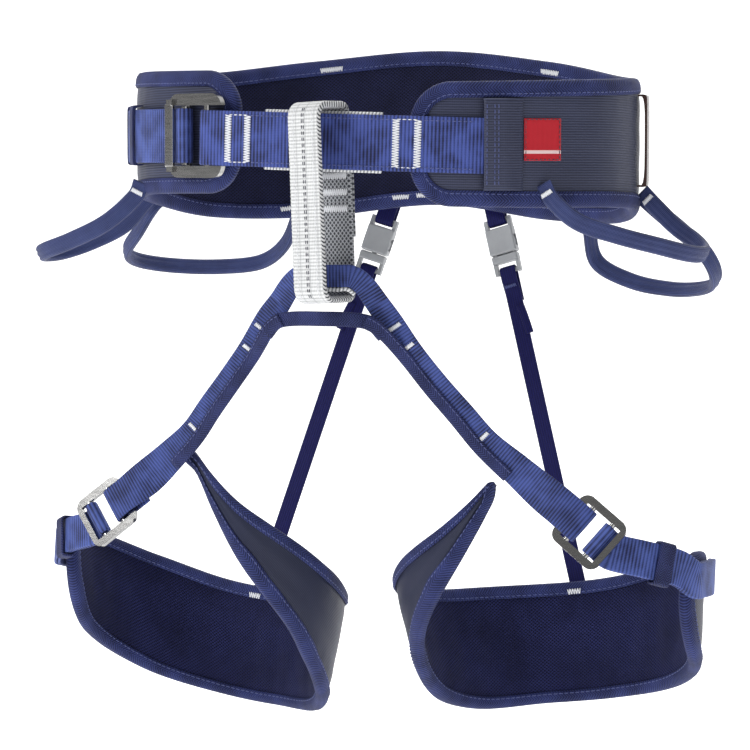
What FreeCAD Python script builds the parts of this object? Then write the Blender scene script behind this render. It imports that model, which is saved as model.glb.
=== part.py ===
import FreeCAD, Part
import math
import os

# Climbing harness (sit harness), millimetres.
# Frame: +Z up, -Y towards the wearer's front, X across.  The origin is the centre of the
# waist, level with the front webbing.  LEFT is -X and RIGHT is +X, as seen from the front.

V = FreeCAD.Vector
LEFT, RIGHT = -1, 1
SIDE_NAME = {LEFT: "left", RIGHT: "right"}

# ---- driving dimensions: waist belt ----
WAIST_A, WAIST_B = 177.0, 117.0        # half axes of the pad's mid-surface in plan
# angle from the front (degrees, towards +X), top edge and bottom edge of the pad
WAIST_EDGES = [(19, 37, -45), (45, 38, -46), (90, 41, -48), (120, 44, -59), (150, 56, -58),
               (180, 65, -48), (210, 58, -57), (240, 49, -57), (270, 47, -46), (300, 47, -39), (339, 46, -37)]
WAIST_TIP_RADIUS = 28.0
WEBBING_WIDTH, WEBBING_THICK = 37.0, 2.0
WEBBING_FALL = 0.03                    # the front webbing drops this much per mm towards +X
WEBBING_Z = -2.0                       # centre height of the front webbing at x = 0

# ---- driving dimensions: padding layers, measured from a pad's mid-surface ----
FOAM_EDGE, FOAM_MIDDLE = 1.2, 3.0      # half thickness at the edge and in the middle
SKIN = 1.0                             # lining and shell cloth
LAYER_GAP = 0.35                       # air between neighbouring layers
EDGE_TAPER = 16.0                      # the pad thins over this distance to its edge
CORE_INSET = 3.2                       # layers stop this far inside the pad's outline
BINDING_FOLD = 1.6                     # inside of the binding's fold, from the outline
BINDING_THICK, BINDING_LIP = 1.0, 11.0
BINDING_EASE = 0.7                     # more air under the binding's lip

# ---- driving dimensions: belay loop and tie-in points ----
TIE_IN_Y = -127.0
BELAY_WIDTH, BELAY_THICK = 26.0, 4.2
BELAY_DEPTH = 37.0                     # outside, front band to rear band
BELAY_TOP, BELAY_BOTTOM = 24.0, -109.5
BELAY_FRONT_CORNER, BELAY_REAR_CORNER = 11.0, 7.5   # outside corner radii of the loop seen from the side
BELAY_TURN = -15.0                     # the loop hangs turned by this angle about Z

# ---- driving dimensions: leg loops ----
LEG_CENTRE = (128.0, -20.0)            # mirrored for the left leg
# angle from the inner thigh (towards the back), upper radius and height, lower radius and height
LEG_START = {LEFT: -81, RIGHT: -73}
LEG_EDGES = [(-82, 66, -209, 66, -223), (-73, 67.4, -216, 67.4, -230), (-64, 75, -230, 76, -255), (-52, 88, -249, 88, -291),
             (-40, 96, -264, 91, -317), (-27, 102, -280, 90, -341), (-14, 105, -297, 87, -366),
             (8, 100, -318, 83, -395), (38, 90, -328, 80, -413), (75, 83, -330, 82, -416),
             (105, 86, -324, 85, -411), (135, 95, -307, 93, -397), (160, 102, -289, 99, -374),
             (190, 101, -274, 99, -338)]
LEG_LEAN = {LEFT: (0.0, 0.0), RIGHT: (4.0, 0.17)}   # height added: constant, and per mm of y
LEG_TIP_INNER, LEG_TIP_UPPER, LEG_TIP_LOWER = 6.9, 28.0, 34.0
LEG_LIP = 9.0
LEG_WEB_THICK = 2.0
BAR_RADIUS = 2.0                       # bars that webbing turns round


# ---------------------------------------------------------------- general helpers
def table_value(table, at, column):
    """Smooth (Catmull-Rom) value of a table column at position at."""
    rows = [row[0] for row in table]
    i = 0
    while i < len(rows) - 2 and at > rows[i + 1]:
        i += 1
    span = rows[i + 1] - rows[i]
    f = (at - rows[i]) / span
    here, there = table[i][column], table[i + 1][column]
    before = table[i - 1] if i > 0 else None
    after = table[i + 2] if i + 2 < len(table) else None
    slope_here = (there - here) if before is None else (
        (there - before[column]) / (rows[i + 1] - before[0]) * span)
    slope_there = (there - here) if after is None else (
        (after[column] - here) / (after[0] - rows[i]) * span)
    f2, f3 = f * f, f * f * f
    return (here * (2 * f3 - 3 * f2 + 1) + slope_here * (f3 - 2 * f2 + f)
            + there * (3 * f2 - 2 * f3) + slope_there * (f3 - f2))


def unit(v):
    length = v.Length
    return V(v.x / length, v.y / length, v.z / length)


def wire(points):
    return Part.makePolygon(points + [points[0]])


def loft(wires, closed=False, ruled=False):
    return Part.makeLoft(wires, True, ruled, closed)


def box(x0, x1, y0, y1, z0, z1):
    return Part.makeBox(x1 - x0, y1 - y0, z1 - z0, V(x0, y0, z0))


def placed(shape, origin, x_axis, z_axis):
    """Move a shape from its own frame so that its X and Z axes lie along the given ones."""
    z = unit(z_axis)
    x = unit(x_axis - z * x_axis.dot(z))
    y = z.cross(x)
    moved = shape.copy()
    frame = FreeCAD.Placement(FreeCAD.Matrix(
        x.x, y.x, z.x, origin.x, x.y, y.y, z.y, origin.y, x.z, y.z, z.z, origin.z, 0, 0, 0, 1))
    moved.Placement = frame.multiply(shape.Placement)
    return moved


def strip_face(points, radii, thickness):
    """A flat strip of webbing seen on edge: a line of points in the XY plane with rounded turns."""
    half = thickness / 2
    headings = [unit(b - a) for a, b in zip(points, points[1:])]
    normals = [V(-h.y, h.x, 0) for h in headings]
    sides = []
    for side in (1, -1):
        edges = []
        start = points[0] + normals[0] * half * side
        for i in range(1, len(points) - 1):
            turn = math.atan2(headings[i - 1].cross(headings[i]).z, headings[i - 1].dot(headings[i]))
            way = 1 if turn > 0 else -1
            reach = radii[i - 1] * math.tan(abs(turn) / 2)
            centre = points[i] - headings[i - 1] * reach + normals[i - 1] * way * radii[i - 1]
            radius = radii[i - 1] - side * way * half
            middle = unit(normals[i - 1] + normals[i])
            first = centre - normals[i - 1] * way * radius
            last = centre - normals[i] * way * radius
            if (first - start).Length > 1e-4:
                edges.append(Part.LineSegment(start, first).toShape())
                joint = first
            else:
                joint = start
            edges.append(Part.Arc(joint, centre - middle * way * radius, last).toShape())
            start = last
        edges.append(Part.LineSegment(start, points[-1] + normals[-1] * half * side).toShape())
        sides.append(edges)
    left, right = sides
    cap_start = Part.LineSegment(points[0] + normals[0] * half, points[0] - normals[0] * half)
    cap_end = Part.LineSegment(points[-1] + normals[-1] * half, points[-1] - normals[-1] * half)
    edges = left + [cap_end.toShape()] + right + [cap_start.toShape()]
    return Part.Face(Part.Wire(Part.__sortEdges__(edges)))


def faced(points, facings):
    """Width directions for a run of webbing whose broad side faces the given directions."""
    across = []
    for i, facing in enumerate(facings):
        along = unit(points[min(i + 1, len(points) - 1)] - points[max(i - 1, 0)])
        across.append(unit(along.cross(facing)))
    return across


def ribbon(points, across, widths, thickness, ruled=False):
    """Webbing lofted through points, given its width direction and width at each."""
    sections = []
    wide = across[0]
    for i, point in enumerate(points):
        along = unit(points[min(i + 1, len(points) - 1)] - points[max(i - 1, 0)])
        same_way = 1 if across[i].dot(wide) > 0 else -1
        wide = unit(across[i] - along * across[i].dot(along)) * (same_way * widths[i] / 2)
        thick = unit(wide.cross(along)) * (thickness / 2)
        sections.append(wire([point + wide + thick, point - wide + thick,
                              point - wide - thick, point + wide - thick]))
    return loft(sections, False, ruled)


def mirrored(side, point):
    return V(point[0] * side, point[1], point[2])


# ---------------------------------------------------------------- padded bands
class Band:
    """A padded band: base(u) gives its low point, high point and outward direction."""

    def __init__(self, base, start, end, start_radii, end_radii, steps, taper, lip):
        self.base, self.start, self.end = base, start, end
        self.start_radii, self.end_radii = start_radii, end_radii      # (low, high) corner radii
        self.steps, self.taper, self.lip = steps, taper, lip
        low_a, high_a, _ = base(start)
        low_b, _, _ = base(start + (end - start) * 0.01)
        low_c, _, _ = base(end)
        low_d, _, _ = base(end - (end - start) * 0.01)
        self.rate_start = abs(end - start) * 0.01 / (low_b - low_a).Length
        self.rate_end = abs(end - start) * 0.01 / (low_c - low_d).Length

    def corner_cut(self, u, which, inset):
        """How far the rounded ends take the low (0) or high (1) edge into the band at u."""
        cut = 0.0
        for edge_u, rate, radii in ((self.start, self.rate_start, self.start_radii),
                                    (self.end, self.rate_end, self.end_radii)):
            radius = radii[which] - inset
            distance = abs(u - edge_u) / rate - inset
            if distance < radius:
                cut = radius - math.sqrt(max(0.0, radius ** 2 - (radius - distance) ** 2))
        return cut + inset * self.stretch(u, which)

    def stretch(self, u, which):
        """Length up the band that crosses 1 mm in from its low (0) or high (1) edge, which may slope."""
        low, high, _ = self.base(u)
        du = (self.end - self.start) * 0.002
        run = self.base(u + du)[which] - self.base(u - du)[which]
        return min(2.2, 1 / unit(run).cross(unit(high - low)).Length)

    def tapers(self, u, height):
        """Length up the band over which the foam thins to its low and high edges."""
        return [min((self.taper - CORE_INSET) * self.stretch(u, which), 0.35 * height) for which in (0, 1)]

    def point(self, u, which, inset=0.0):
        """A point on the outline, or on the same outline taken in by inset."""
        low, high, _ = self.base(u)
        up = unit(high - low)
        if which == 0:
            return low + up * self.corner_cut(u, 0, inset)
        return high - up * self.corner_cut(u, 1, inset)

    def places(self, angles, inset=0.0):
        """Positions along the band, closer together in its rounded ends."""
        first, last = max(self.start_radii) - inset, max(self.end_radii) - inset
        turns = [1 - math.cos(math.radians(a)) for a in angles]
        begin = [self.start + (inset + first * turn) * self.rate_start for turn in turns]
        finish = [self.end - (inset + last * turn) * self.rate_end for turn in turns]
        inner_start = begin[-1] + first * 0.3 * self.rate_start
        inner_end = finish[-1] - last * 0.3 * self.rate_end
        middle = [inner_start + (inner_end - inner_start) * i / self.steps for i in range(self.steps + 1)]
        return begin + middle + finish[::-1]

    def fullness(self, u):
        """How far the foam has grown to its full thickness, from 0 at the band's ends to 1."""
        from_end = min(abs(u - self.start) / self.rate_start, abs(u - self.end) / self.rate_end)
        return max(0.0, min(1.0, (from_end - CORE_INSET) / (self.taper - CORE_INSET)))

    def half_thickness(self, u, share):
        """Half the foam's thickness at a share of the height of the band at u."""
        low, high, _ = self.base(u)
        height = (high - low).Length
        first = self.corner_cut(u, 0, CORE_INSET)
        last = height - self.corner_cut(u, 1, CORE_INSET)
        taper_low, taper_high = self.tapers(u, last - first)
        grown = max(0.0, min(1.0, (share * height - first) / taper_low, (last - share * height) / taper_high))
        return FOAM_EDGE + (FOAM_MIDDLE - FOAM_EDGE) * self.fullness(u) * grown

    def layer(self, inner, outer):
        """A layer whose faces follow the foam's: each is (which side of the mid-surface, air beyond the foam)."""
        sections = []
        for u in self.places((20, 40, 65, 90), CORE_INSET):
            low, high = self.point(u, 0, CORE_INSET), self.point(u, 1, CORE_INSET)
            out = self.base(u)[2]
            up = unit(high - low)
            taper_low, taper_high = self.tapers(u, (high - low).Length)
            full = FOAM_EDGE + (FOAM_MIDDLE - FOAM_EDGE) * self.fullness(u)
            faces = []
            for way, extra in (inner, outer):
                edge, middle = out * (way * (FOAM_EDGE + extra)), out * (way * (full + extra))
                faces.append([low + edge, low + up * taper_low + middle, high - up * taper_high + middle, high + edge])
            sections.append(wire(faces[0] + faces[1][::-1]))
        return loft(sections)

    def foam(self):
        return self.layer((-1, 0.0), (1, 0.0))

    def shell(self):
        return self.layer((1, LAYER_GAP), (1, LAYER_GAP + SKIN))

    def lining(self):
        return self.layer((-1, LAYER_GAP + SKIN), (-1, LAYER_GAP))

    def outline(self):
        """Places round the whole edge: position along the band, point and share of the height."""
        spots = self.places((8, 28, 48, 69, 90))
        ring = [(u, 1) for u in spots] + [(u, 0) for u in spots[::-1]]
        points = []
        for u, which in ring:
            low, high, _ = self.base(u)
            point = self.point(u, which)
            points.append((u, point, (point - low).Length / (high - low).Length))
        quarter = len(points) // 4
        return points[quarter:] + points[:quarter]

    def stepped(self, u, share, step):
        """The place on the mid-surface reached by a small step from another place on it."""
        low, high, _ = self.base(u)
        rise = high - low
        du = (self.end - self.start) * 0.002
        beside_low, beside_high, _ = self.base(u + du)
        run = (beside_low + (beside_high - beside_low) * share - low - rise * share) * (1 / du)
        a, b, c = run.dot(run), run.dot(rise), rise.dot(rise)
        d, e = step.dot(run), step.dot(rise)
        new_u = u + (d * c - e * b) / (a * c - b * b)
        new_share = share + (a * e - b * d) / (a * c - b * b)
        new_low, new_high, out = self.base(new_u)
        return new_low + (new_high - new_low) * new_share, out, self.half_thickness(new_u, new_share)

    def binding(self):
        """The tape folded over the band's edge, as one closed loop."""
        ring = self.outline()
        count = len(ring)
        probe = 2
        run = ring[probe + 1][1] - ring[probe - 1][1]
        low, high, out = self.base(ring[probe][0])
        hand = -1 if run.cross(out).dot(high - low) > 0 else 1
        near = FOAM_EDGE + SKIN + 2 * LAYER_GAP
        sections = []
        for i, (u, point, share) in enumerate(ring):
            along = unit(ring[(i + 1) % count][1] - ring[i - 1][1])
            low, high, out = self.base(u)
            inward = unit(along.cross(out)) * hand
            steep = self.stretch(u, 1 if share > 0.5 else 0)
            lip = min(self.lip, CORE_INSET + 0.35 * ((high - low).Length / steep - 2 * CORE_INSET))
            lip_point, lip_out, half = self.stepped(u, share, inward * lip)
            far = half + SKIN + 2 * LAYER_GAP + BINDING_EASE
            fold_point = point + inward * BINDING_FOLD
            sections.append(wire([lip_point - lip_out * (far + BINDING_THICK), point - out * (near + 0.6),
                                  point + out * (near + 0.6), lip_point + lip_out * (far + BINDING_THICK),
                                  lip_point + lip_out * far, fold_point + out * near,
                                  fold_point - out * near, lip_point - lip_out * far]))
        return loft(sections, True)


def waist_point(angle, offset, z):
    """A point at an angle from the front, offset outwards from the pad's mid-surface."""
    a = math.radians(angle)
    out = waist_out(angle)
    return V(WAIST_A * math.sin(a), -WAIST_B * math.cos(a), z) + out * offset


def waist_out(angle):
    a = math.radians(angle)
    return unit(V(WAIST_B * math.sin(a), -WAIST_A * math.cos(a), 0))


def waist_base(angle):
    top = table_value(WAIST_EDGES, angle, 1)
    bottom = table_value(WAIST_EDGES, angle, 2)
    return waist_point(angle, 0, bottom), waist_point(angle, 0, top), waist_out(angle)


def leg_base(side):
    def base(angle):
        a = math.radians(angle)
        ends = []
        for column in (3, 1):
            radius = table_value(LEG_EDGES, angle, column)
            height = table_value(LEG_EDGES, angle, column + 1)
            x = side * (LEG_CENTRE[0] - radius * math.cos(a))
            y = LEG_CENTRE[1] + radius * math.sin(a)
            lift, lean = LEG_LEAN[side]
            ends.append(V(x, y, height + lift + lean * y))
        low, high = ends
        along = V(side * math.sin(a), math.cos(a), 0)
        out = unit((high - low).cross(along)) * side
        return low, high, out
    return base


def waist_pad():
    band = Band(waist_base, 19, 339, (WAIST_TIP_RADIUS,) * 2, (WAIST_TIP_RADIUS,) * 2, 18, EDGE_TAPER,
                BINDING_LIP)
    return {"waist_pad_foam": band.foam(), "waist_pad_mesh_lining": band.lining(),
            "waist_pad_outer_shell": band.shell(), "waist_pad_edge_binding": band.binding()}


def leg_pad(side):
    name = SIDE_NAME[side]
    band = Band(leg_base(side), LEG_START[side], 190, (LEG_TIP_INNER,) * 2, (LEG_TIP_LOWER, LEG_TIP_UPPER), 18,
                EDGE_TAPER, LEG_LIP)
    return {"leg_pad_foam_" + name: band.foam(), "leg_pad_mesh_lining_" + name: band.lining(),
            "leg_pad_outer_shell_" + name: band.shell(), "leg_pad_edge_binding_" + name: band.binding()}


# ---------------------------------------------------------------- waist belt webbing
WEB_OFFSET = 7.6                       # mid-plane of webbing that lies on a pad, from the pad's mid-surface
WEB_GAP = 0.4                          # air between two layers of webbing
LAYER_STEP = WEBBING_THICK + WEB_GAP
BUCKLE_ANGLE, BUCKLE_OFFSET = -31.0, 11.2
FRAME_BAR, FLOAT_BAR = 10.0, -11.0     # bar positions along the buckle
FRAME_HEIGHT, FRAME_OPENING = 57.0, 41.0
FRAME_THICK = 4.0
FLOAT_TURN = 4.4                       # webbing turns round the floating bar at this radius
TAIL_END = -92.0                       # the adjusting webbing's tail ends at this angle


def webbing_z(x):
    return WEBBING_Z - WEBBING_FALL * x


def flat(point):
    return V(point.x, point.y, 0)


def buckle_frame_axes():
    out = waist_out(BUCKLE_ANGLE)
    along = V(-out.y, out.x, 0)
    return waist_point(BUCKLE_ANGLE, BUCKLE_OFFSET, 0), along, out


def buckle_plan(along_by, out_by):
    """A plan point from its place along (+ towards the front) and out of the waist buckle."""
    origin, along, out = buckle_frame_axes()
    return flat(origin + along * along_by + out * out_by)


def standing(face, width, z):
    """Extrude a plan strip to webbing of the given width centred at height z."""
    solid = face.extrude(V(0, 0, width))
    solid.translate(V(0, 0, z - width / 2))
    return solid


def falling(solid):
    """Tilt the front webbing's layers so that they drop towards the right."""
    solid.rotate(V(0, 0, WEBBING_Z), V(0, 1, 0), math.degrees(math.atan(WEBBING_FALL)))
    return solid


def belt_run(angles, offset):
    return [flat(waist_point(angle, offset, 0)) for angle in angles]


def easy_radii(points, share=0.42):
    """Turn radii as large as the straight runs allow."""
    radii = []
    for before, here, after in zip(points, points[1:], points[2:]):
        a, b = here - before, after - here
        turn = abs(math.atan2(a.cross(b).z, a.dot(b)))
        radii.append(share * min(a.Length, b.Length) / max(math.tan(turn / 2), 1e-3))
    return radii


def waist_webbing():
    bar_turn = BAR_RADIUS + 1.1 + WEBBING_THICK / 2
    edge = FRAME_BAR - bar_turn
    points = (belt_run((40, 30, 20, 10, 0, -6), WEB_OFFSET)
              + belt_run((-13,), WEB_OFFSET + LAYER_STEP + 0.2) + [buckle_plan(27, 0.6)]
              + [buckle_plan(14.5, bar_turn), buckle_plan(edge, bar_turn), buckle_plan(edge, -bar_turn)]
              + [buckle_plan(14.5, -bar_turn), buckle_plan(28, -bar_turn - 0.6)]
              + belt_run((-14.5,), WEB_OFFSET))
    radii = easy_radii(points)
    for i, point in enumerate(points[1:-1]):
        if (point - buckle_plan(edge, 0)).Length < bar_turn + 0.1:
            radii[i] = bar_turn
    return falling(standing(strip_face(points, radii, WEBBING_THICK), WEBBING_WIDTH, WEBBING_Z))


def adjusting_webbing():
    turn = FLOAT_TURN
    edge = FLOAT_BAR + turn
    tail = WEB_OFFSET + LAYER_STEP
    points = (belt_run((-86, -76, -66, -56, -47), WEB_OFFSET) + [buckle_plan(-20, -BUCKLE_OFFSET + WEB_OFFSET - 0.9)]
              + [buckle_plan(edge, -turn), buckle_plan(edge, turn), buckle_plan(FLOAT_BAR - 2.6, turn),
                 buckle_plan(-18.6, -1.9)]
              + belt_run((-46, -56, -66, -76, -86, TAIL_END), tail))
    radii = easy_radii(points)
    for i, point in enumerate(points[1:-1]):
        if (point - buckle_plan(edge, 0)).Length < turn + 0.1:
            radii[i] = turn
    radii[7] = 2.0
    radii[8] = 3.0
    return standing(strip_face(points, radii, WEBBING_THICK), WEBBING_WIDTH, webbing_z(-130))


def belt_arc(angles, offset, thickness, width, z):
    points = belt_run(angles, offset)
    return standing(strip_face(points, easy_radii(points), thickness), width, z)


def tunnel(angles, z0, z1, foot, inside, thick):
    """A cover sewn to the belt along its top and bottom, with room under it for webbing."""
    sections = []
    outline = [(foot, z0), (inside + thick, z0), (inside + thick, z1), (foot, z1),
               (foot, z1 - thick), (inside, z1 - thick), (inside, z0 + thick), (foot, z0 + thick)]
    for angle in angles:
        sections.append(wire([waist_point(angle, offset, z) for offset, z in outline]))
    return loft(sections)


def belt_trim():
    on_shell = FOAM_MIDDLE + LAYER_GAP + SKIN + LAYER_GAP
    over_one = WEB_OFFSET + WEBBING_THICK / 2 + WEB_GAP
    over_two = over_one + LAYER_STEP
    z_right, z_left = webbing_z(110), webbing_z(-150)
    return {
        "tie_in_backing_webbing": falling(belt_arc((14, 10, 0, -10, -12), WEB_OFFSET - LAYER_STEP - 0.1,
                                                   WEBBING_THICK, WEBBING_WIDTH, WEBBING_Z)),
        "upper_tie_in_protector": falling(belt_arc((13, 8, 0, -8, -14), WEB_OFFSET - LAYER_STEP - 2.9, 2.2, 40.4,
                                                   WEBBING_Z)),
        "webbing_sleeve": tunnel((36, 38, 40, 42, 44), z_right - 26, z_right + 26, on_shell, over_one, 1.2),
        "woven_label": belt_arc((45.5, 48.7, 52, 55.5), on_shell + 0.4, 0.8, 28.0, -1.0),
        "tail_keeper_front": tunnel((-60, -61.5, -63), z_left - 21, z_left + 21, on_shell, over_two, 1.2),
        "tail_keeper_rear": tunnel((-80, -82, -84), z_left - 21, z_left + 21, on_shell, over_two, 1.2),
        "ice_clip_slot_right": tunnel((92, 94, 96, 98), -33, 30, on_shell, over_one + 0.9, 1.4),
        "ice_clip_slot_left": tunnel((-97, -99, -101, -103), -27, 36, on_shell, over_one + 0.9, 1.4),
    }


def waist_buckle():
    """Steel frame with two rails, a wide left bar and a round bar, and a separate floating bar."""
    origin, along, out = buckle_frame_axes()
    origin = V(origin.x, origin.y, webbing_z(origin.x) + 1.0)
    half_h, half_o, half_t = FRAME_HEIGHT / 2, FRAME_OPENING / 2, FRAME_THICK / 2
    plate = box(-25, 25, -half_h, half_h, -half_t, half_t)
    plate = plate.makeFillet(9.0, [e for e in plate.Edges if abs(e.Vertexes[0].Z - e.Vertexes[-1].Z) > 1])
    rails = plate.cut(box(-19, 26, -half_o, half_o, -9, 9)).cut(box(-26, -18.9, -half_o, half_o, -9, 9))
    left_bar = box(-27, -19.4, -half_o - 1, half_o + 1, 1.2, 4.4)
    left_bar = left_bar.makeFillet(1.2, left_bar.Edges)
    bar = Part.makeCylinder(BAR_RADIUS + 0.2, FRAME_OPENING + 2, V(FRAME_BAR, -half_o - 1, 0), V(0, 1, 0))
    posts = box(-25, -19.4, -half_o - 4, -half_o - 0.4, -0.5, 4.4)
    posts = posts.fuse(box(-25, -19.4, half_o + 0.4, half_o + 4, -0.5, 4.4))
    frame = rails.fuse([left_bar, bar, posts]).removeSplitter()
    float_bar = Part.makeCylinder(2.2, FRAME_OPENING - 1.2, V(FLOAT_BAR, -half_o + 0.6, 0), V(0, 1, 0))
    lugs = [box(FLOAT_BAR - 2, FLOAT_BAR + 2, s * (half_o + 1.7) - 3.3, s * (half_o + 1.7) + 3.3,
                -half_t - 2.0, -half_t - 0.4) for s in (1, -1)]
    necks = [box(FLOAT_BAR - 1.5, FLOAT_BAR + 1.5, s * (half_o - 1.1) - 0.5, s * (half_o - 1.1) + 0.5,
                 -half_t - 2.0, 1.0) for s in (1, -1)]
    floating = float_bar.fuse(lugs + necks).removeSplitter()
    return {"waist_buckle_frame": placed(frame, origin, along, out),
            "waist_buckle_floating_bar": placed(floating, origin, along, out)}


# ---------------------------------------------------------------- belay loop
BELAY_LEAN = -2.5                      # the bottom of the loop hangs towards +X


def rounded_block(half_x, half_y, z0, z1, front_radius, rear_radius):
    block = box(-half_x, half_x, -half_y, half_y, z0, z1)
    for y, radius in ((-half_y, front_radius), (half_y, rear_radius)):
        long_edges = [e for e in block.Edges if abs(e.Vertexes[0].X - e.Vertexes[-1].X) > 1
                      and abs(e.Vertexes[0].Y - y) < 0.01 and min(abs(e.Vertexes[0].Z - z) for z in (z0, z1)) < 0.01]
        block = block.makeFillet(radius, long_edges)
    return block


def hang_belay(shape):
    shape = shape.copy()
    shape.rotate(V(0, 0, 0), V(0, 1, 0), BELAY_LEAN)
    shape.rotate(V(0, 0, 0), V(0, 0, 1), BELAY_TURN)
    shape.translate(V(0, TIE_IN_Y, 0))
    return shape


def belay_loop():
    half_w, half_d, thick = BELAY_WIDTH / 2, BELAY_DEPTH / 2, BELAY_THICK
    outside = rounded_block(half_w, half_d, BELAY_BOTTOM, BELAY_TOP, BELAY_FRONT_CORNER, BELAY_REAR_CORNER)
    inside = rounded_block(half_w + 1, half_d - thick, BELAY_BOTTOM + thick, BELAY_TOP - thick,
                           BELAY_FRONT_CORNER - thick, BELAY_REAR_CORNER - thick)
    overlap = box(-half_w + 0.5, half_w - 0.5, half_d + 0.35, half_d + 2.4, -66, -20)
    return {"belay_loop_webbing": hang_belay(outside.cut(inside)), "belay_loop_overlap": hang_belay(overlap)}


# ---------------------------------------------------------------- leg loop tie-in bridge and straps
BRIDGE = [(0, -126, -91.3), (9, -125.6, -91.2), (18, -123.6, -91.6), (26, -119.6, -97.6), (35, -114.6, -110),
          (44, -110.5, -122)]
ARCH_SHIFT = 4.5                       # the arch follows the belay loop's lean
BRIDGE_WIDTHS = [15.0, 15.0, 15.0, 15.5, 16.5, 17.5]
CROSS_STRAP = [(0, -123.5, -120), (22, -121.5, -120.5), (34, -119.2, -123), (42, -117.6, -131)]
STRAP = [(45.9, -109.8, -124.6), (58, -107.5, -143), (74.5, -104, -164), (90.5, -99.5, -183), (106, -94.5, -202),
         (125, -90, -219), (142, -88.3, -233.5)]
STRAP_WIDTHS = [17.5, 17.5, 17.5, 18, 19, 22, 25, 25]
FRONT = V(0, -1, 0)
LEG_BUCKLE = (175.0, -86.0, -260.0)
LEG_BUCKLE_ALONG = (0.787, -0.049, -0.615)
LEG_BUCKLE_OUT = (0.152, -0.950, 0.270)
LEG_BAR = 8.6                          # the two bars' distance from the buckle's centre
LEG_TURN = BAR_RADIUS + 0.6 + LEG_WEB_THICK / 2


def both_halves(points):
    """A run symmetrical about the middle, from its half on the right."""
    right = [V(*p) for p in points]
    return [V(-p.x, p.y, p.z) for p in right[:0:-1]] + right


def leg_bridge():
    points = [p + V(ARCH_SHIFT * (1 - (p.x / BRIDGE[-1][0]) ** 2), 0, 0) for p in both_halves(BRIDGE)]
    widths = BRIDGE_WIDTHS[:0:-1] + BRIDGE_WIDTHS
    across = faced(points, [FRONT] * len(points))
    under = [p + a * (w / 2 + 0.45 + 1.3) for p, a, w in zip(points, across, widths)]
    cross = both_halves(CROSS_STRAP)
    return {"leg_bridge_webbing": ribbon(points, across, widths, LEG_WEB_THICK),
            "lower_tie_in_protector": ribbon(under[2:-2], across[2:-2], [2.6] * (len(points) - 4), 1.8),
            "leg_cross_strap": ribbon(cross, faced(cross, [FRONT] * len(cross)), [10.0] * len(cross), 2.4)}


def leg_buckle_axes(side):
    origin = mirrored(side, LEG_BUCKLE)
    along = unit(mirrored(side, LEG_BUCKLE_ALONG))
    out = mirrored(side, LEG_BUCKLE_OUT)
    out = unit(out - along * out.dot(along))
    return origin, along, out


def leg_buckle_point(side, along_by, out_by):
    origin, along, out = leg_buckle_axes(side)
    return origin + along * along_by + out * out_by


def half_turn(side, centre, start_way):
    """Points of a half turn of webbing round a leg buckle bar, from its outer side to its inner side."""
    return [leg_buckle_point(side, centre + start_way * LEG_TURN * math.sin(math.radians(a)),
                             LEG_TURN * math.cos(math.radians(a))) for a in (0, 30, 60, 90, 120, 150, 180)]


def leg_strap(side):
    _, along, out = leg_buckle_axes(side)
    wide = along.cross(out)
    run = [mirrored(side, p) for p in STRAP]
    lead = [leg_buckle_point(side, -20, LEG_TURN + 0.3)]
    back = [leg_buckle_point(side, -18, -LEG_TURN), leg_buckle_point(side, -31, -LEG_TURN)]
    turn = half_turn(side, -LEG_BAR, 1)
    points = run + lead + turn + back
    across = faced(run + lead, [FRONT] * len(STRAP) + [out]) + [wide] * (len(turn) + len(back))
    widths = STRAP_WIDTHS + [25.0] * (len(turn) + len(back))
    strap = ribbon(points, across, widths, LEG_WEB_THICK, True)
    edge = []
    down = faced(run, [FRONT] * len(run))
    for point, wide_way, width in zip(run[:-1], down, STRAP_WIDTHS):
        low = wide_way if wide_way.z < 0 else wide_way * -1
        edge.append(point + low * (width / 2 - 4.0) + FRONT * (LEG_WEB_THICK / 2 + 0.35 + 0.8))
    binding = ribbon(edge, down[:-1], [9.0] * len(edge), 1.6, True)
    return strap, binding


def leg_surface(side, angle, below, offset):
    """A point outside a leg pad, so far below its upper edge and off its mid-surface."""
    low, high, out = leg_base(side)(angle)
    return high - unit(high - low) * below + out * offset


def leg_adjuster(side):
    """Webbing from the pad's outer end, round the buckle's outer bar and back over itself."""
    _, along, out = leg_buckle_axes(side)
    wide = along.cross(out)
    under, over = WEB_OFFSET, WEB_OFFSET + LAYER_STEP + 0.2
    places = ((160, 17), (172, 17.5), (182, 18), (190, 18.5))
    free = [((226, -52, -286), (0.87, -0.49, 0.1)), ((209, -69, -279), (0.6, -0.79, 0.15))]
    facings = [leg_base(side)(angle)[2] for angle, _ in places]
    facings += [unit(mirrored(side, facing)) for _, facing in free]
    inner = [leg_surface(side, angle, below, under) for angle, below in places]
    inner += [mirrored(side, point) for point, _ in free]
    outer = [point + facing * (over - under) for point, facing in zip(inner, facings)]
    outer += [leg_buckle_point(side, 18.5, -3.4), leg_buckle_point(side, 13.8, -2.9),
              leg_buckle_point(side, 12.1, -0.4), leg_buckle_point(side, 10.9, 2.5)]
    inner += [leg_buckle_point(side, 18.5, -6.6), leg_buckle_point(side, 13.0, -5.4)]
    turn = half_turn(side, LEG_BAR, -1)
    across = (faced(outer, facings + [out] * 4) + [wide] * len(turn)
              + faced(inner, facings + [out] * 2)[::-1])
    points = outer + turn + inner[::-1]
    return ribbon(points, across, [24.6] * len(points), LEG_WEB_THICK, True)


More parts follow.
